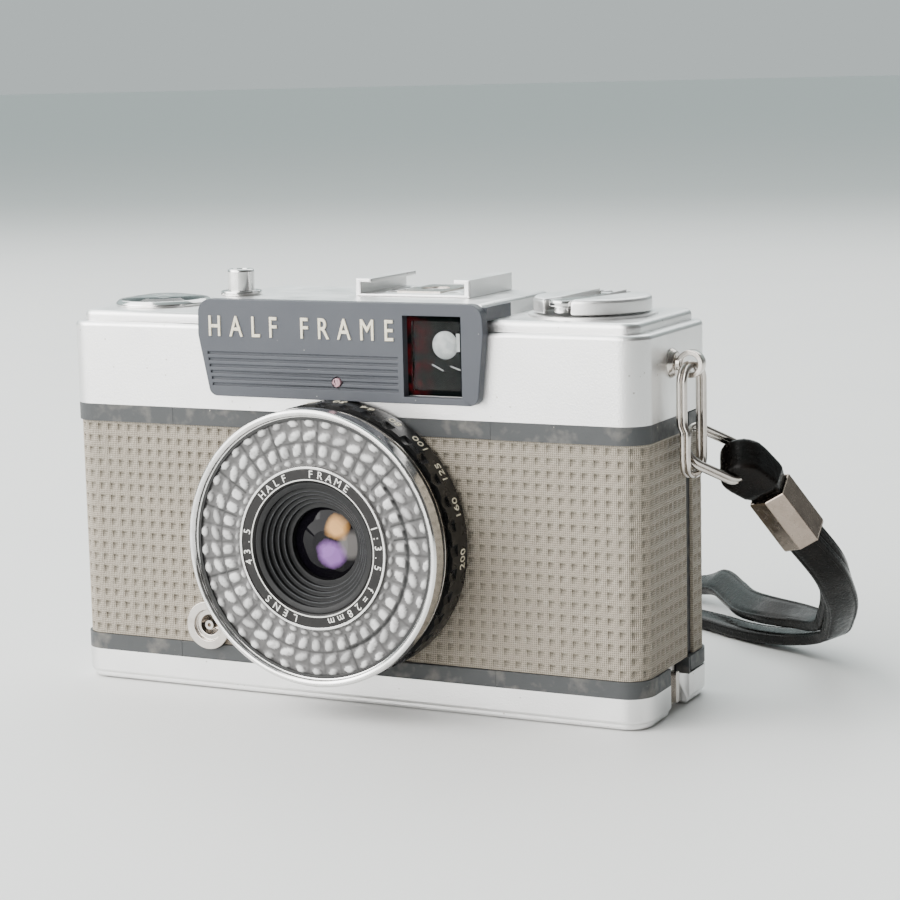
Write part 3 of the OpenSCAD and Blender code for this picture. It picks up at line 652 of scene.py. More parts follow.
# How far the cloth's outer and inner faces lie inside the covers' outline
SKIN_OUT = 0.4
SKIN_IN = 0.97
CLOTH_PITCH = (2.04, 2.12)
PIT_DEEP = 0.34
# Clearances around the lens and flash socket, and beside the hinge
LENS_CLEAR = 19.0
SOCKET_CLEAR = 3.1
KNUCKLE_CLEAR = 2.6
BODY_HINGE_CLEAR = 1.8
DOOR_HINGE_CLEAR = 3.0
DOOR_GAP = 3.0
# The door's cloth goes this much further on the hinge side
DOOR_OVER = 1.0
# Places across one cell: the rim, the pit's slope and its floor
CELL_STEPS = (0.0, 0.18, 0.27, 0.5, 0.73, 0.82)
THREADS = 6


def outline_runs():
    """The plan outline as runs from the middle of the front, going to +X."""
    straight_x = HALF_W - CORNER_R
    straight_y = HALF_D - CORNER_R
    arc = (CORNER_R - SKIN_OUT) * math.pi / 2
    return [
        (straight_x, (0, -1), (0, -HALF_D), (1, 0)),
        (arc, None, (straight_x, -straight_y), -90),
        (2 * straight_y, (1, 0), (HALF_W, -straight_y), (0, 1)),
        (arc, None, (straight_x, straight_y), 0),
        (2 * straight_x, (0, 1), (straight_x, HALF_D), (-1, 0)),
        (arc, None, (-straight_x, straight_y), 90),
        (2 * straight_y, (-1, 0), (-HALF_W, straight_y), (0, -1)),
        (arc, None, (-straight_x, -straight_y), 180),
        (straight_x, (0, -1), (-straight_x, -HALF_D), (1, 0)),
    ]


RUNS = outline_runs()
PERIMETER = sum(run[0] for run in RUNS)


def around(s, inset):
    """The point of the outline at arc length s, set in by inset."""
    s %= PERIMETER
    for length, outward, start, way in RUNS:
        if s <= length:
            break
        s -= length
    if outward is None:
        angle = math.radians(way + 90 * s / length)
        reach = CORNER_R - inset
        return start[0] + reach * math.cos(angle), start[1] + reach * math.sin(angle)
    return (start[0] + way[0] * s - outward[0] * inset,
            start[1] + way[1] * s - outward[1] * inset)


def cell_lines(first, last, pitch):
    """Grid lines over a whole number of cells, and the place of each within its cell."""
    count = round((last - first) / pitch)
    step = (last - first) / count
    lines = [(first + (i + t) * step, t) for i in range(count) for t in CELL_STEPS]
    return lines + [(last, 0.0)], step


def pit_depth(u, v):
    """A slanted floor: deepest at the upper left of the pit, level at its lower right. The cloth's finish
    paints shade where it is deep.
    """
    inside = 0.25 < u < 0.75 and 0.25 < v < 0.75
    return 0.5 + 1.05 * (v - u) if inside else 0.0


def leather_skin(name, s0, s1, z0, z1, skip, body, replaces):
    """A sheet of pitted cloth round the body from s0 to s1, closed behind."""
    columns, pitch_u = cell_lines(s0, s1, CLOTH_PITCH[0])
    rows, pitch_v = cell_lines(z0, z1, CLOTH_PITCH[1])
    across = len(rows)
    points, depth, thread_u, thread_v = [], [], [], []
    for layer in (0, 1):
        for s, u in columns:
            for z, v in rows:
                deep = pit_depth(u, v)
                inset = SKIN_IN if layer else SKIN_OUT + PIT_DEEP * deep
                points.append((*around(s, inset), z))
                depth.append(deep)
                thread_u.append((s - s0) / pitch_u * THREADS * 2 * math.pi)
                thread_v.append((z - z0) / pitch_v * THREADS * 2 * math.pi)
    back = len(columns) * across
    kept = set()
    steps = len(CELL_STEPS)
    for i in range(len(columns) - 1):
        for j in range(across - 1):
            s = s0 + (i // steps + 0.5) * pitch_u
            z = z0 + (j // steps + 0.5) * pitch_v
            x, y = around(s, SKIN_OUT)
            if not skip(x, y, z):
                kept.add((i, j))
    faces = []
    for i, j in sorted(kept):
        a, b = i * across + j, (i + 1) * across + j
        faces.append((a, b, b + 1, a + 1))
        faces.append((back + a, back + a + 1, back + b + 1, back + b))
        if (i - 1, j) not in kept:
            faces.append((a, a + 1, back + a + 1, back + a))
        if (i + 1, j) not in kept:
            faces.append((b, back + b, back + b + 1, b + 1))
        if (i, j - 1) not in kept:
            faces.append((a, back + a, back + b, b))
        if (i, j + 1) not in kept:
            faces.append((a + 1, b + 1, back + b + 1, back + a + 1))
    mesh = mesh_from(points, faces, 60)
    store(mesh, "pit_depth", depth)
    store(mesh, "thread_u", thread_u)
    store(mesh, "thread_v", thread_v)
    remove_loose(mesh)
    return piece(name, mesh, body, CLOTH, replaces)


def remove_loose(mesh):
    work = bmesh.new()
    work.from_mesh(mesh)
    bmesh.ops.delete(work, geom=[v for v in work.verts if not v.link_faces], context="VERTS")
    work.to_mesh(mesh)
    work.free()


LENS_X, _, LENS_Z = middle_of("front_ring")
# Heights between which the hinge's knuckles cut into the front cloth
KNUCKLES = ((9.4, 17.3), (36.4, 44.6))


def make_leatherette():
    cloth_low, cloth_high = box_mm("leatherette_right")
    z0, z1 = cloth_low.z + 0.05, cloth_high.z - 0.05
    to_side = HALF_W - CORNER_R + (CORNER_R - SKIN_OUT) * math.pi / 2
    front_end = to_side + HALF_D - CORNER_R + cloth_high.y - 0.05
    door_start = front_end + DOOR_GAP
    socket_x, _, socket_z = middle_of("pc_socket")
    hinge_y = middle_of("hinge_pin")[1]

    def front_skip(x, y, z):
        on_front, on_left = y < -HALF_D + 1, x < -HALF_W + 1
        under_lens = on_front and math.hypot(x - LENS_X, z - LENS_Z) < LENS_CLEAR
        under_socket = on_front and math.hypot(x - socket_x, z - socket_z) < SOCKET_CLEAR
        at_knuckle = on_left and y > hinge_y - KNUCKLE_CLEAR and any(a < z < b for a, b in KNUCKLES)
        at_hinge = on_left and y > hinge_y - BODY_HINGE_CLEAR
        return under_lens or under_socket or at_knuckle or at_hinge

    def door_skip(x, y, z):
        return x < -HALF_W + 1 and y < hinge_y + DOOR_HINGE_CLEAR

    leather_skin("front_cloth", -front_end, front_end, z0, z1, front_skip,
                 "camera", ("leatherette_left", "leatherette_right"))
    leather_skin("door_cloth", door_start, PERIMETER - door_start + DOOR_OVER, z0, z1, door_skip,
                 "door", ("door_leatherette",))


make_leatherette()


# ---------------- lens detail


def polar(radius, angle, y):
    """A point about the lens axis; angle runs from +X towards +Z."""
    return LENS_X + radius * math.cos(angle), y, LENS_Z + radius * math.sin(angle)


BUBBLE_SPOKES = 42
BUBBLE_GRID = 8
BUBBLE_HIGH = 0.45
# The sector on the right that the rim shades: turn in radians, cosine at its ends
SHADE_TURN = 0.25
SHADE_COS = 0.55
# Rows from the name ring outward: share of the width, half-extents, exponent, lean, brightness of the
# painted highlight
BUBBLE_ROWS = (
    (0.18, 0.66, 0.62, 2.2, 0.0, 0.62),
    (0.30, 0.66, 0.84, 3.0, 0.1, 1.0),
    (0.29, 0.82, 0.80, 2.0, 0.55, 0.95),
    (0.23, 0.56, 0.70, 2.3, 0.0, 0.9),
)


def bubble_height(u, v, row, lean):
    """Height of a bubble at u, v from 0 to 1 across its cell."""
    _, half_u, half_v, power, row_lean, _ = row
    a = (2 * u - 1) + (row_lean + lean) * (2 * v - 1)
    b = 2 * v - 1
    return max(0.0, 1 - abs(a / half_u) ** power - abs(b / half_v) ** power) ** 0.5


def make_bubble_window():
    low, high = box_mm("bubble_window")
    inner = radius_of("name_ring") + 0.1
    outer = radius_of("bubble_window")
    chance = random.Random(7)
    shades = [[chance.uniform(0.45, 1.0) for _ in BUBBLE_ROWS] for _ in range(BUBBLE_SPOKES)]
    leans = [[chance.uniform(-0.22, 0.22) for _ in BUBBLE_ROWS] for _ in range(BUBBLE_SPOKES)]
    gaps = [chance.uniform(0.1, 0.75) for _ in range(BUBBLE_SPOKES)]
    rings, start = [], inner
    for index, row in enumerate(BUBBLE_ROWS):
        width = row[0] * (outer - inner)
        rings += [(start + width * j / BUBBLE_GRID, index, j / BUBBLE_GRID) for j in range(BUBBLE_GRID)]
        start += width
    rings.append((outer, len(BUBBLE_ROWS) - 1, 1.0))
    turn_count = BUBBLE_SPOKES * BUBBLE_GRID
    ring_count = len(rings)
    points, bubble_light_shade = [], []
    for i in range(turn_count):
        spoke, step = divmod(i, BUBBLE_GRID)
        angle = 2 * math.pi * i / turn_count
        in_shade = math.cos(angle + SHADE_TURN) > SHADE_COS
        for radius, index, v in rings:
            row = BUBBLE_ROWS[index]
            h = bubble_height(step / BUBBLE_GRID, v, row, leans[spoke][index])
            points.append(polar(radius, angle, low.y + BUBBLE_HIGH * (1 - h)))
            # Painted light and shade: lit dome tops, dark gaps between bubbles, darker still in the sector
            # the rim shades
            value = h * row[5] * shades[spoke][index]
            if step == 0 and index > 0:
                value = -gaps[spoke]
            if v == 0 and index == 2:
                value = -1.0 if in_shade else -0.5
            elif in_shade and index == 1 and v > 0.8:
                value = min(value, 0.0) - 0.5
            bubble_light_shade.append(value)
    front = len(points)
    for i in range(turn_count):
        for radius in (inner, outer):
            points.append(polar(radius, 2 * math.pi * i / turn_count, high.y))
            bubble_light_shade.append(0.0)
    faces = grid_faces(turn_count, ring_count, wrap_across=False)
    for i in range(turn_count):
        k = (i + 1) % turn_count
        edge = (i + 1) * ring_count - 1
        next_edge = (k + 1) * ring_count - 1
        back_in, back_out = front + 2 * i, front + 2 * i + 1
        next_in, next_out = front + 2 * k, front + 2 * k + 1
        faces.append((edge, back_out, next_out, next_edge))
        faces.append((i * ring_count, k * ring_count, next_in, back_in))
        faces.append((back_in, next_in, next_out, back_out))
    mesh = mesh_from(points, faces, 70)
    store(mesh, "bubble_light_shade", bubble_light_shade)
    piece("bubble_lenslets", mesh, "camera", BUBBLES, ("bubble_window",))


make_bubble_window()


def turned(name, profile, material, segments=160):
    """A part turned about the lens axis from (radius, y) points, closed on itself."""
    points = [polar(r, 2 * math.pi * i / segments, y) for i in range(segments) for r, y in profile]
    mesh = mesh_from(points, grid_faces(segments, len(profile)), 30)
    piece(name, mesh, "camera", material, ())


def band(r0, r1, front, back):
    """Profile of a flat ring with small chamfers on its front."""
    c = min(0.04, (r1 - r0) / 4)
    return [(r0, back), (r0, front + c), (r0 + c, front), (r1 - c, front), (r1, front + c), (r1, back)]


# The stepped recess around the front element: first radius, and each step's width and depth
RECESS_R = 9.9
RECESS_STEP = 0.72
RECESS_DEEP = 0.75


def make_lens_rings():
    plate_y = box_mm("name_ring")[0].y
    plate_r = radius_of("name_ring")
    turned("name_rim", band(plate_r - 0.32, plate_r + 0.06, plate_y - 0.12, plate_y + 0.6),
           BRIGHT)
    turned("name_line", band(11.28, 11.5, plate_y - 0.02, plate_y + 0.3), WHITE)
    tube_low = box_mm("lens_tube")[0].y
    for step in range(4):
        radius = RECESS_R - RECESS_STEP * step
        depth = tube_low + RECESS_DEEP * (step + 1) + 0.2
        # Thin grey rings on the step edges: painted glints where the edges catch the light
        turned(f"recess_line_{step}", band(radius - 0.62, radius - 0.54, depth - 0.02, depth + 0.2),
               RIDGE, 96)
    rim = box_mm("front_ring")[0].y
    # A black ring inside the rim: painted shadow of the rim's inner wall
    turned("rim_shadow_ring", band(21.2, 21.75, rim + 0.96, rim + 1.3), PLASTIC)
    barrel = box_mm("lens_barrel")[0].y
    turned("barrel_line", band(22.35, 22.55, barrel + 1.6, barrel + 1.8), STEEL)


make_lens_rings()


# ---------------- lettering


def glyphs(text, size, thick, spacing=1.0):
    """Flat letters as a mesh in metres, centred on their own middle, facing +Z."""
    curve = bpy.data.curves.new("glyphs", "FONT")
    curve.body = text
    curve.size = size * MM
    curve.extrude = thick * MM / 2
    curve.bevel_depth = thick * MM / 6
    curve.bevel_resolution = 1
    curve.resolution_u = 4
    curve.space_character = spacing
    curve.align_x = "CENTER"
    curve.align_y = "CENTER"
    obj = bpy.data.objects.new("glyphs", curve)
    to_scene(obj)
    bpy.context.view_layer.update()
    mesh = evaluated(obj)
    bpy.data.objects.remove(obj)
    bpy.data.curves.remove(curve)
    return mesh


def frame_of(right, up, at):
    """Places +X along right, +Y along up, at a point in millimetres."""
    right, up = Vector(right), Vector(up)
    turn = Matrix((right, up, right.cross(up))).transposed().to_4x4()
    return Matrix.Translation(Vector(at) * MM) @ turn


def lettering(name, marks, thick, body, material, widen=(1, 1, 1)):
    """One piece from marks: (text, size in mm, placing matrix, character spacing)."""
    work = bmesh.new()
    for text, size, place, spacing in marks:
        mesh = glyphs(text, size, thick, spacing)
        mesh.transform(place @ Matrix.Diagonal((*widen, 1)))
        work.from_mesh(mesh)
        bpy.data.meshes.remove(mesh)
    return piece(name, mesh_of(work), body, material, ())


def arc_marks(text, size, radius, y, middle_deg, step_deg):
    """Letters round the lens, read clockwise with their tops outward."""
    marks = []
    start = middle_deg + step_deg * (len(text) - 1) / 2
    for i, letter in enumerate(text):
        if letter == " ":
            continue
        angle = math.radians(start - step_deg * i)
        up = (math.cos(angle), 0, math.sin(angle))
        right = (math.sin(angle), 0, -math.cos(angle))
        marks.append((letter, size, frame_of(right, up, polar(radius, angle, y)), 1.0))
    return marks


# Generic words and values round the name ring: text, middle and step in degrees
NAME_TEXTS = (
    ("HALF  FRAME", 97, 8.0),
    ("1:3.5", 4, 7.6),
    ("f=28mm", -52, 9.0),
    ("LENS", -120, 9.0),
    ("43.5", 182, 8.0),
)
NAME_TEXT_SIZE = 1.75
NAME_TEXT_R = 12.25
# Film speeds on the gripped ring and their angles in degrees
FILM_SPEEDS = {200: -4.5, 160: 16.5, 125: 32, 100: 46.5, 80: 60.5, 64: 74, 50: 87, 40: 100, 25: 114, 10: 129}
FILM_SPEED_SIZE = 2.3
PANEL_TEXT_AT = (-6.0, 63.5)
PANEL_TEXT_SIZE = 4.9
# Narrow letters: their width is this share of the font's
PANEL_TEXT_WIDEN = (0.76, 1, 1)
COUNTER_STEP = 12
COUNTER_MARKS = 7
COUNTER_STEP_DEG = 46
COUNTER_TEXT_R = 4.9


def make_name_ring_letters():
    plate_y = box_mm("name_ring")[0].y
    marks = []
    for text, middle_deg, step_deg in NAME_TEXTS:
        marks += arc_marks(text, NAME_TEXT_SIZE, NAME_TEXT_R, plate_y, middle_deg, step_deg)
    lettering("name_ring_letters", marks, 0.05, "camera", WHITE)


def make_speed_numbers():
    y = box_mm("speed_ring")[1].y - 1.75
    marks = []
    for number, degrees in FILM_SPEEDS.items():
        angle = math.radians(degrees)
        right = (-math.sin(angle), 0, math.cos(angle))
        place = frame_of(right, (0, -1, 0), polar(radius_of("speed_ring"), angle, y))
        marks.append((str(number), FILM_SPEED_SIZE, place, 1.05))
    lettering("speed_numbers", marks, 0.04, "speed", CREAM)


def make_panel_letters():
    x, z = PANEL_TEXT_AT
    place = frame_of((1, 0, 0), (0, 0, 1), (x, box_mm("front_panel")[0].y, z))
    marks = [("HALF FRAME", PANEL_TEXT_SIZE, place, 1.85)]
    lettering("panel_letters", marks, 0.3, "camera", CREAM, PANEL_TEXT_WIDEN)


def make_counter_numbers():
    x, y, _ = middle_of("counter_dial")
    z = box_mm("counter_dial")[1].z
    marks = []
    for i in range(COUNTER_MARKS):
        angle = math.radians(90 - i * COUNTER_STEP_DEG)
        up = (math.cos(angle), math.sin(angle), 0)
        right = (math.sin(angle), -math.cos(angle), 0)
        at = (x + COUNTER_TEXT_R * up[0], y + COUNTER_TEXT_R * up[1], z)
        marks.append((str(i * COUNTER_STEP), 2.0, frame_of(right, up, at), 1.0))
    lettering("counter_numbers", marks, 0.04, "counter", DARK)


make_name_ring_letters()
make_speed_numbers()
make_panel_letters()
make_counter_numbers()


# ---------------- finder window


DISC_AT = (19.7, 61.3)
# The disc's slightly crowned front: radius and place before the mask, from the middle out
DISC_RINGS = ((0.0, -0.32), (1.3, -0.30), (2.05, -0.2), (2.3, 0.0))
DISC_SEGMENTS = 48
# Light parts behind the window glass: name, two ends (x, z) and thickness in mm
FINDER_LINES = (
    ("finder_bracket", (22.2, 60.3), (22.2, 63.2), 0.9),
    ("finder_line_0", (17.3, 58.1), (19.3, 57.1), 0.16),
    ("finder_line_1", (20.6, 57.9), (22.4, 57.3), 0.16),
)


def rectangle(low, high, inset_x=0.0, inset_z=0.0):
    """Corners (x, z) of a box's front, set in on its sides."""
    x0, x1 = low.x + inset_x, high.x - inset_x
    z0, z1 = low.z + inset_z, high.z - inset_z
    return [(x0, z0), (x1, z0), (x1, z1), (x0, z1)]


def slab(corners, y0, y1):
    """A flat slab on four corners (x, z), from y0 to y1."""
    points = [(x, y, z) for y in (y0, y1) for x, z in corners]
    sides = [(i, 4 + i, 4 + (i + 1) % 4, (i + 1) % 4) for i in range(4)]
    return mesh_from(points, [(0, 1, 2, 3), (7, 6, 5, 4)] + sides)


def window_frame(outer, inner, y0, y1):
    """A flat frame between two rectangles."""
    points = [(x, y, z) for y in (y0, y1) for x, z in outer + inner]
    faces = []
    for i in range(4):
        j = (i + 1) % 4
        faces += [(i, j, 4 + j, 4 + i), (8 + j, 8 + i, 12 + i, 12 + j)]
        faces += [(i, 8 + i, 8 + j, j), (4 + i, 4 + j, 12 + j, 12 + i)]
    return mesh_from(points, faces)


def crowned_disc(y):
    x, z = DISC_AT
    points = [(x, y + DISC_RINGS[0][1], z)]
    for radius, dy in DISC_RINGS[1:]:
        for i in range(DISC_SEGMENTS):
            angle = 2 * math.pi * i / DISC_SEGMENTS
            points.append((x + radius * math.cos(angle), y + dy, z + radius * math.sin(angle)))
    faces = []
    for i in range(DISC_SEGMENTS):
        k = (i + 1) % DISC_SEGMENTS
        faces.append((0, 1 + i, 1 + k))
        for ring in range(len(DISC_RINGS) - 2):
            a, b = 1 + ring * DISC_SEGMENTS, 1 + (ring + 1) * DISC_SEGMENTS
            faces.append((a + i, b + i, b + k, a + k))
    faces.append(tuple(reversed(range(1 + 2 * DISC_SEGMENTS, 1 + 3 * DISC_SEGMENTS))))
    return mesh_from(points, faces, 50)


def make_finder_parts():
    low, high = box_mm("window_glass")
    y = high.y + 0.5
    # A dark sheet behind the window glass: painted shade standing for the dark inside of the finder
    mask = slab(rectangle(low, high, 0.1, 0.1), y, y + 0.25)
    piece("finder_mask", mask, "camera", FINDER, ())
    border = window_frame(rectangle(low, high), rectangle(low, high, 0.75, 0.8), low.y - 0.06, low.y)
    piece("window_border", border, "camera", FINDER, ())
    piece("finder_disc", crowned_disc(y), "camera", DISC, ())
    for name, start, end, thick in FINDER_LINES:
        start, end = Vector(start), Vector(end)
        across = (end - start).normalized().orthogonal() * thick / 2
        corners = [start - across, end - across, end + across, start + across]
        piece(name, slab(corners, y - 0.12, y + 0.02), "camera", DISC, ())


make_finder_parts()


# ---------------- wire rings


WIRE_R = 0.5
# Half the distance between the two turns of a ring
WIRE_GAP = 0.47
WIRE_SIDES = 20
SPLIT_TURN = math.radians(12)
# Piece, CAD node, tip, ways it runs and lies, (length, half-width, corner), step to the side
WIRE_RINGS = (
    ("split_ring_wire", "split_ring", (57.3, -2.5, 58), (0, 0, -1),
     (math.sin(SPLIT_TURN), math.cos(SPLIT_TURN), 0), (18, 2.9, 2.9), 0.6),
    ("link_ring_wire", "link_ring", (55.9, -1.1, 45.3), (0.66, 0.604, -0.4415),
     (-0.25, 0.68, 0.69), (11, 3.9, 2.6), 0.0),
)
# Where the step starts, as a share of the length, and how far it takes there and back
STEP_FROM = 0.53
STEP_OVER = 1.1
STEP_BACK_OVER = 2.4


def ring_outline(length, half, corner, steps=14):
    """Middle line of a flat ring with round corners; its tip is the origin and it runs along +X."""
    outline = []
    straight = length - 2 * corner
    for x, y, first, way in ((length - corner, half - corner, 0, -1), (corner, half - corner, 90, 0),
                             (corner, corner - half, 180, 1), (length - corner, corner - half, 270, 0)):
        for k in range(steps + 1):
            angle = math.radians(first + 90 * k / steps)
            outline.append((x + corner * math.cos(angle), y + corner * math.sin(angle)))
        outline += [(x + way * straight * k / steps, -way * half) for k in range(1, steps) if way]
    return outline


def eased(t):
    """0 below 0, 1 above 1 and a smooth rise between."""
    t = min(max(t, 0.0), 1.0)
    return t * t * (3 - 2 * t)


def side_step(x, y, length):
    """Share of the step that the turns take along one side, back to none over the far end."""
    if y > 0:
        return 0.0
    return eased((x - STEP_FROM * length) / STEP_OVER) * eased((length - x) / STEP_BACK_OVER)


def make_wire_ring(name, node, at, run, across, size, step):
    """Two turns of round wire side by side, as smooth tubes; step moves one side over, in mm."""
    run = Vector(run).normalized()
    across = Vector(across)
    across = (across - across.dot(run) * run).normalized()
    normal = run.cross(across)
    outline = ring_outline(*size)
    count = len(outline)
    points, faces = [], []
    for turn in (-1, 1):
        base = len(points)
        faces += [tuple(base + v for v in reversed(face)) for face in grid_faces(count, WIRE_SIDES)]
        for i, (x, y) in enumerate(outline):
            before, after = outline[i - 1], outline[(i + 1) % count]
            way = ((after[0] - before[0]) * run + (after[1] - before[1]) * across).normalized()
            side = way.cross(normal)
            beside = turn * WIRE_GAP + step * side_step(x, y, size[0])
            middle = Vector(at) + x * run + y * across + beside * normal
            for k in range(WIRE_SIDES):
                angle = 2 * math.pi * k / WIRE_SIDES
                points.append(middle + WIRE_R * (math.cos(angle) * side + math.sin(angle) * normal))
    piece(name, mesh_from(points, faces, 80), "strap_ring", STEEL, (node,))


for wire_ring in WIRE_RINGS:
    make_wire_ring(*wire_ring)


# ---------------- strap


STRAP_WIDE = 5.8
STRAP_THICK = 2.1
STRAND_GAP = STRAP_THICK / 2 + 0.08
# Gap between the clamp's mouth and the strap's ends
STRAP_CLEAR = 0.3
# Clamp: where the leather enters, its way, the way of its width, and the length
CLAMP_AT = Vector((66.2, 8.6, 36.7))
CLAMP_DIR = Vector((0.4, 0.48, -0.78)).normalized()
CLAMP_ACROSS = Vector((0.916, -0.136, 0.386))
CLAMP_LEN = 11.5

# The strap's route: place, then heading and tilt of the strand's width
STRAP_PAIR = [
    (73.1, 19.5, 22.0, 8, 17), (72.9, 25.0, 17.5, 28, 12), (71.9, 30.0, 13.8, 43, 6),
    (69.7, 35.6, 9.9, 52, 6), (66.5, 41.5, 6.0, 57, 8),
]
STRAP_SINGLE = [
    (60.2, 46.2, 2.8, 58, 8), (52.4, 50.3, 1.6, 59, 3), (45.5, 54.2, 1.2, 62, 0), (38, 59, 1.2, 66, 0),
    (26, 64, 1.2, 74, 0), (8, 67, 1.2, 86, 0), (-14, 67, 1.2, 93, 0), (-34, 66, 1.7, 98, 10),
    (-43, 67.5, 2.7, 100, 36), (-48, 74, 2.7, 100, 38), (-43, 80, 2.7, 100, 36), (-34, 82, 1.8, 98, 10),
    (-14, 84, 1.2, 93, 0), (10, 84, 1.7, 82, 4), (27, 80, 3.2, 72, 12), (34.8, 73, 5.6, 66, 36),
    (40.8, 64.5, 5.6, 62, 38), (46.0, 56.5, 5.7, 60, 38), (52.1, 50.1, 6.3, 60, 36),
    (59.4, 46.6, 6.4, 60, 22),
]
STRAP_STEPS = 8


def square_to(u, v):
    return (v - v.dot(u) * u).normalized()


def width_way(q):
    azimuth, tilt = math.radians(q[3]), math.radians(q[4])
    return Vector((math.cos(azimuth) * math.cos(tilt), math.sin(azimuth) * math.cos(tilt), math.sin(tilt)))


def strap_route():
    side = square_to(CLAMP_DIR, CLAMP_ACROSS)
    heading = (math.degrees(math.atan2(side.y, side.x)), math.degrees(math.asin(side.z)))
    pair = [Vector(q[:3]) for q in STRAP_PAIR]

    def mouth(s):
        at = CLAMP_AT + (CLAMP_LEN + STRAP_CLEAR) * CLAMP_DIR + s * STRAND_GAP * CLAMP_DIR.cross(side)
        return (*at, *heading)

    def beside(i, s):
        way = (pair[min(i + 1, len(pair) - 1)] - pair[max(i - 1, 0)]).normalized()
        across = square_to(way, width_way(STRAP_PAIR[i]))
        return (*(pair[i] + s * STRAND_GAP * way.cross(across)), *STRAP_PAIR[i][3:])

    outward = [beside(i, 1) for i in range(len(pair))]
    homeward = [beside(i, -1) for i in reversed(range(len(pair)))]
    return [mouth(1)] + outward + STRAP_SINGLE + homeward + [mouth(-1)]


def blend_points(a, b, c, d, s):
    """Smooth curve from b to c."""
    return tuple(
        0.5 * (2 * q + (r - p) * s + (2 * p - 5 * q + 4 * r - t) * s * s + (3 * q - p - 3 * r + t) * s ** 3)
        for p, q, r, t in zip(a, b, c, d)
    )


def fine_route():
    route = strap_route()
    last = len(route) - 1
    fine = [
        blend_points(route[max(i - 1, 0)], route[i], route[i + 1], route[min(i + 2, last)], k / STRAP_STEPS)
        for i in range(last) for k in range(STRAP_STEPS)
    ]
    return fine + [route[last]]


def strand_section():
    """Half-round edges, a stitched groove beside each, a slightly crowned middle."""
    half_w, half_t = STRAP_WIDE / 2, STRAP_THICK / 2
    top = [(0.0, half_t), (1.2, half_t), (1.9, half_t - 0.03), (2.1, half_t - 0.16), (2.25, half_t - 0.16),
           (2.4, half_t - 0.03), (half_w - 0.25, half_t - 0.12), (half_w - 0.08, half_t - 0.38),
           (half_w, half_t - 0.72)]
    ring = [(-x, y) for x, y in reversed(top[1:])] + top
    ring += [(half_w - 0.05, 0.12), (half_w - 0.05, -0.12)]
    ring += [(x, -y) for x, y in reversed(top)]
    ring += [(-x, -y) for x, y in top[1:]]
    ring += [(-half_w + 0.05, -0.12), (-half_w + 0.05, 0.12)]
    return ring


def make_strap():
    fine = fine_route()
    places = [Vector(q[:3]) for q in fine]
    last = len(fine) - 1
    section = strand_section()
    count = len(section)
    points = []
    for i, at in enumerate(places):
        along = (places[min(i + 1, last)] - places[max(i - 1, 0)]).normalized()
        if i == 0:
            along = CLAMP_DIR
        elif i == last:
            along = -CLAMP_DIR
        across = square_to(along, width_way(fine[i]))
        normal = along.cross(across)
        points += [at + x * across + y * normal for x, y in section]
    faces = grid_faces(len(places), count, wrap_rows=False)
    faces.append(tuple(reversed(range(count))))
    faces.append(tuple(last * count + j for j in range(count)))
    strap = piece("wrist_strap", mesh_from(points, faces, 50), None, LEATHER)
    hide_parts("strap")
    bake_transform(strap)
    return strap, [tuple(p * MM) for p in places]


LOOP_VOXEL = 0.22
LOOP_SWELL = 0.5
# The fold is filled out this far into the clamp
FOLD_END = 0.2
# The leather swells to its full thickness over this length before the clamp
LOOP_SWELL_OVER = 1.4


def filled_loop():
    """The CAD loop together with the hull of its part before the clamp."""
    form = bmesh.new()
    form.from_mesh(nodes["strap_loop"].data)
    fold = bmesh.new()
    for vertex in form.verts:
        if (vertex.co / MM - CLAMP_AT).dot(CLAMP_DIR) < FOLD_END:
            fold.verts.new(vertex.co)
    bmesh.ops.convex_hull(fold, input=fold.verts)
    filled = mesh_of(fold)
    remove_loose(filled)
    form.from_mesh(filled)
    return mesh_of(form)


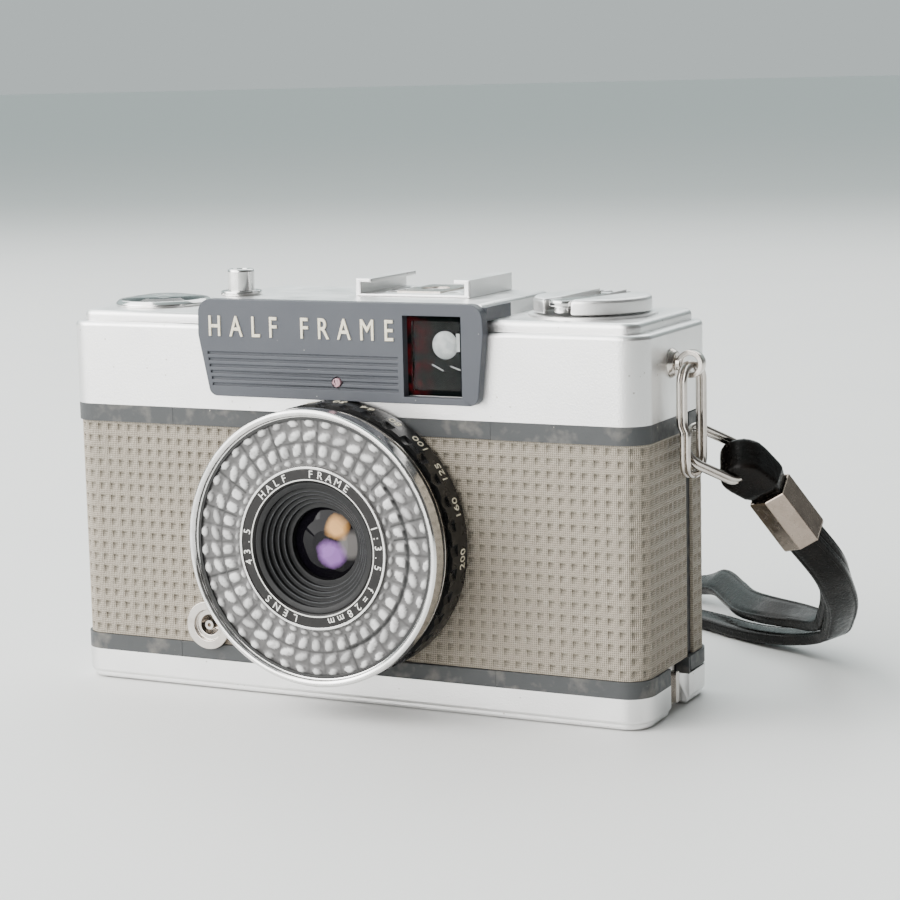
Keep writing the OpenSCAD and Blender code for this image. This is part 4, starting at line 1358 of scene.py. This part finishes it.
def make_strap_loop():
    """The folded leather end, remeshed, pressed smooth and swollen before the clamp."""
    work = bpy.data.objects.new("loop_work", filled_loop())
    to_scene(work)
    remesh = work.modifiers.new("remesh", "REMESH")
    remesh.mode = "VOXEL"
    remesh.voxel_size = LOOP_VOXEL * MM
    smooth = work.modifiers.new("smooth", "SMOOTH")
    smooth.factor = 0.6
    smooth.iterations = 12
    bpy.context.view_layer.update()
    mesh = evaluated(work)
    bpy.data.objects.remove(work)
    swollen = []
    for vertex in mesh.vertices:
        before_clamp = -(vertex.co / MM - CLAMP_AT).dot(CLAMP_DIR)
        swell = LOOP_SWELL * min(max((before_clamp + 0.1) / LOOP_SWELL_OVER, 0.0), 1.0)
        swollen.extend(vertex.co + swell * MM * vertex.normal)
    mesh.vertices.foreach_set("co", swollen)
    shade(mesh, 80)
    return piece("leather_loop", mesh, "strap_ring", LEATHER, ("strap_loop",))


wrist_strap, strap_path = make_strap()
leather_loop = make_strap_loop()


# ---------------- stage and light


def make_stage():
    reach = 40 / MM
    corners = [(-reach, -reach, 0), (reach, -reach, 0), (reach, reach, 0), (-reach, reach, 0)]
    floor = piece("floor", mesh_from(corners, [(0, 1, 2, 3)]), None, floor_paper())
    floor.location.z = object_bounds()[0][2]


def soft_light(name, at, target, size, watts, color=(1, 1, 1)):
    data = bpy.data.lights.new(name, "AREA")
    data.shape = "RECTANGLE"
    data.size, data.size_y = size
    data.energy = watts
    data.color = color
    light = bpy.data.objects.new(name, data)
    light.location = at
    light.rotation_euler = (Vector(target) - Vector(at)).to_track_quat("-Z", "Y").to_euler()
    to_scene(light)


def make_light():
    """A pale room, darker to the right, with soft lights to the left, above and behind."""
    world = bpy.data.worlds.new("soft_room")
    room = Nodes(world)
    way = room.add("ShaderNodeTexCoord").outputs["Generated"]

    def share(axis, low, high):
        return room.span(room.axis(way, axis), low, high, interpolation_type="SMOOTHSTEP")

    to_right = share("X", -0.15, 0.75)
    front = room.mix(to_right, (0.50, 0.52, 0.52), (0.10, 0.095, 0.09))
    far_wall = room.mix(share("Z", 0.02, 0.3), (0.55, 0.61, 0.61), (0.78, 0.96, 0.95))
    behind = room.mix(to_right, far_wall, (0.20, 0.20, 0.20))
    walls = room.mix(share("Y", -0.6, 0.3), front, behind)
    room.join(walls, room.tree.nodes["Background"].inputs["Color"])
    bpy.context.scene.world = world
    middle = (0, 0, 0.035)
    soft_light("window_left", (-0.75, -1.15, 0.70), middle, (2.2, 1.4), 58, (1, 0.99, 0.97))
    soft_light("high_left", (-0.80, -0.30, 1.0), middle, (1.2, 1.2), 22, (1, 0.99, 0.97))
    soft_light("back_top", (-0.3, 0.8, 0.9), middle, (1.6, 0.9), 12)


make_stage()
make_light()
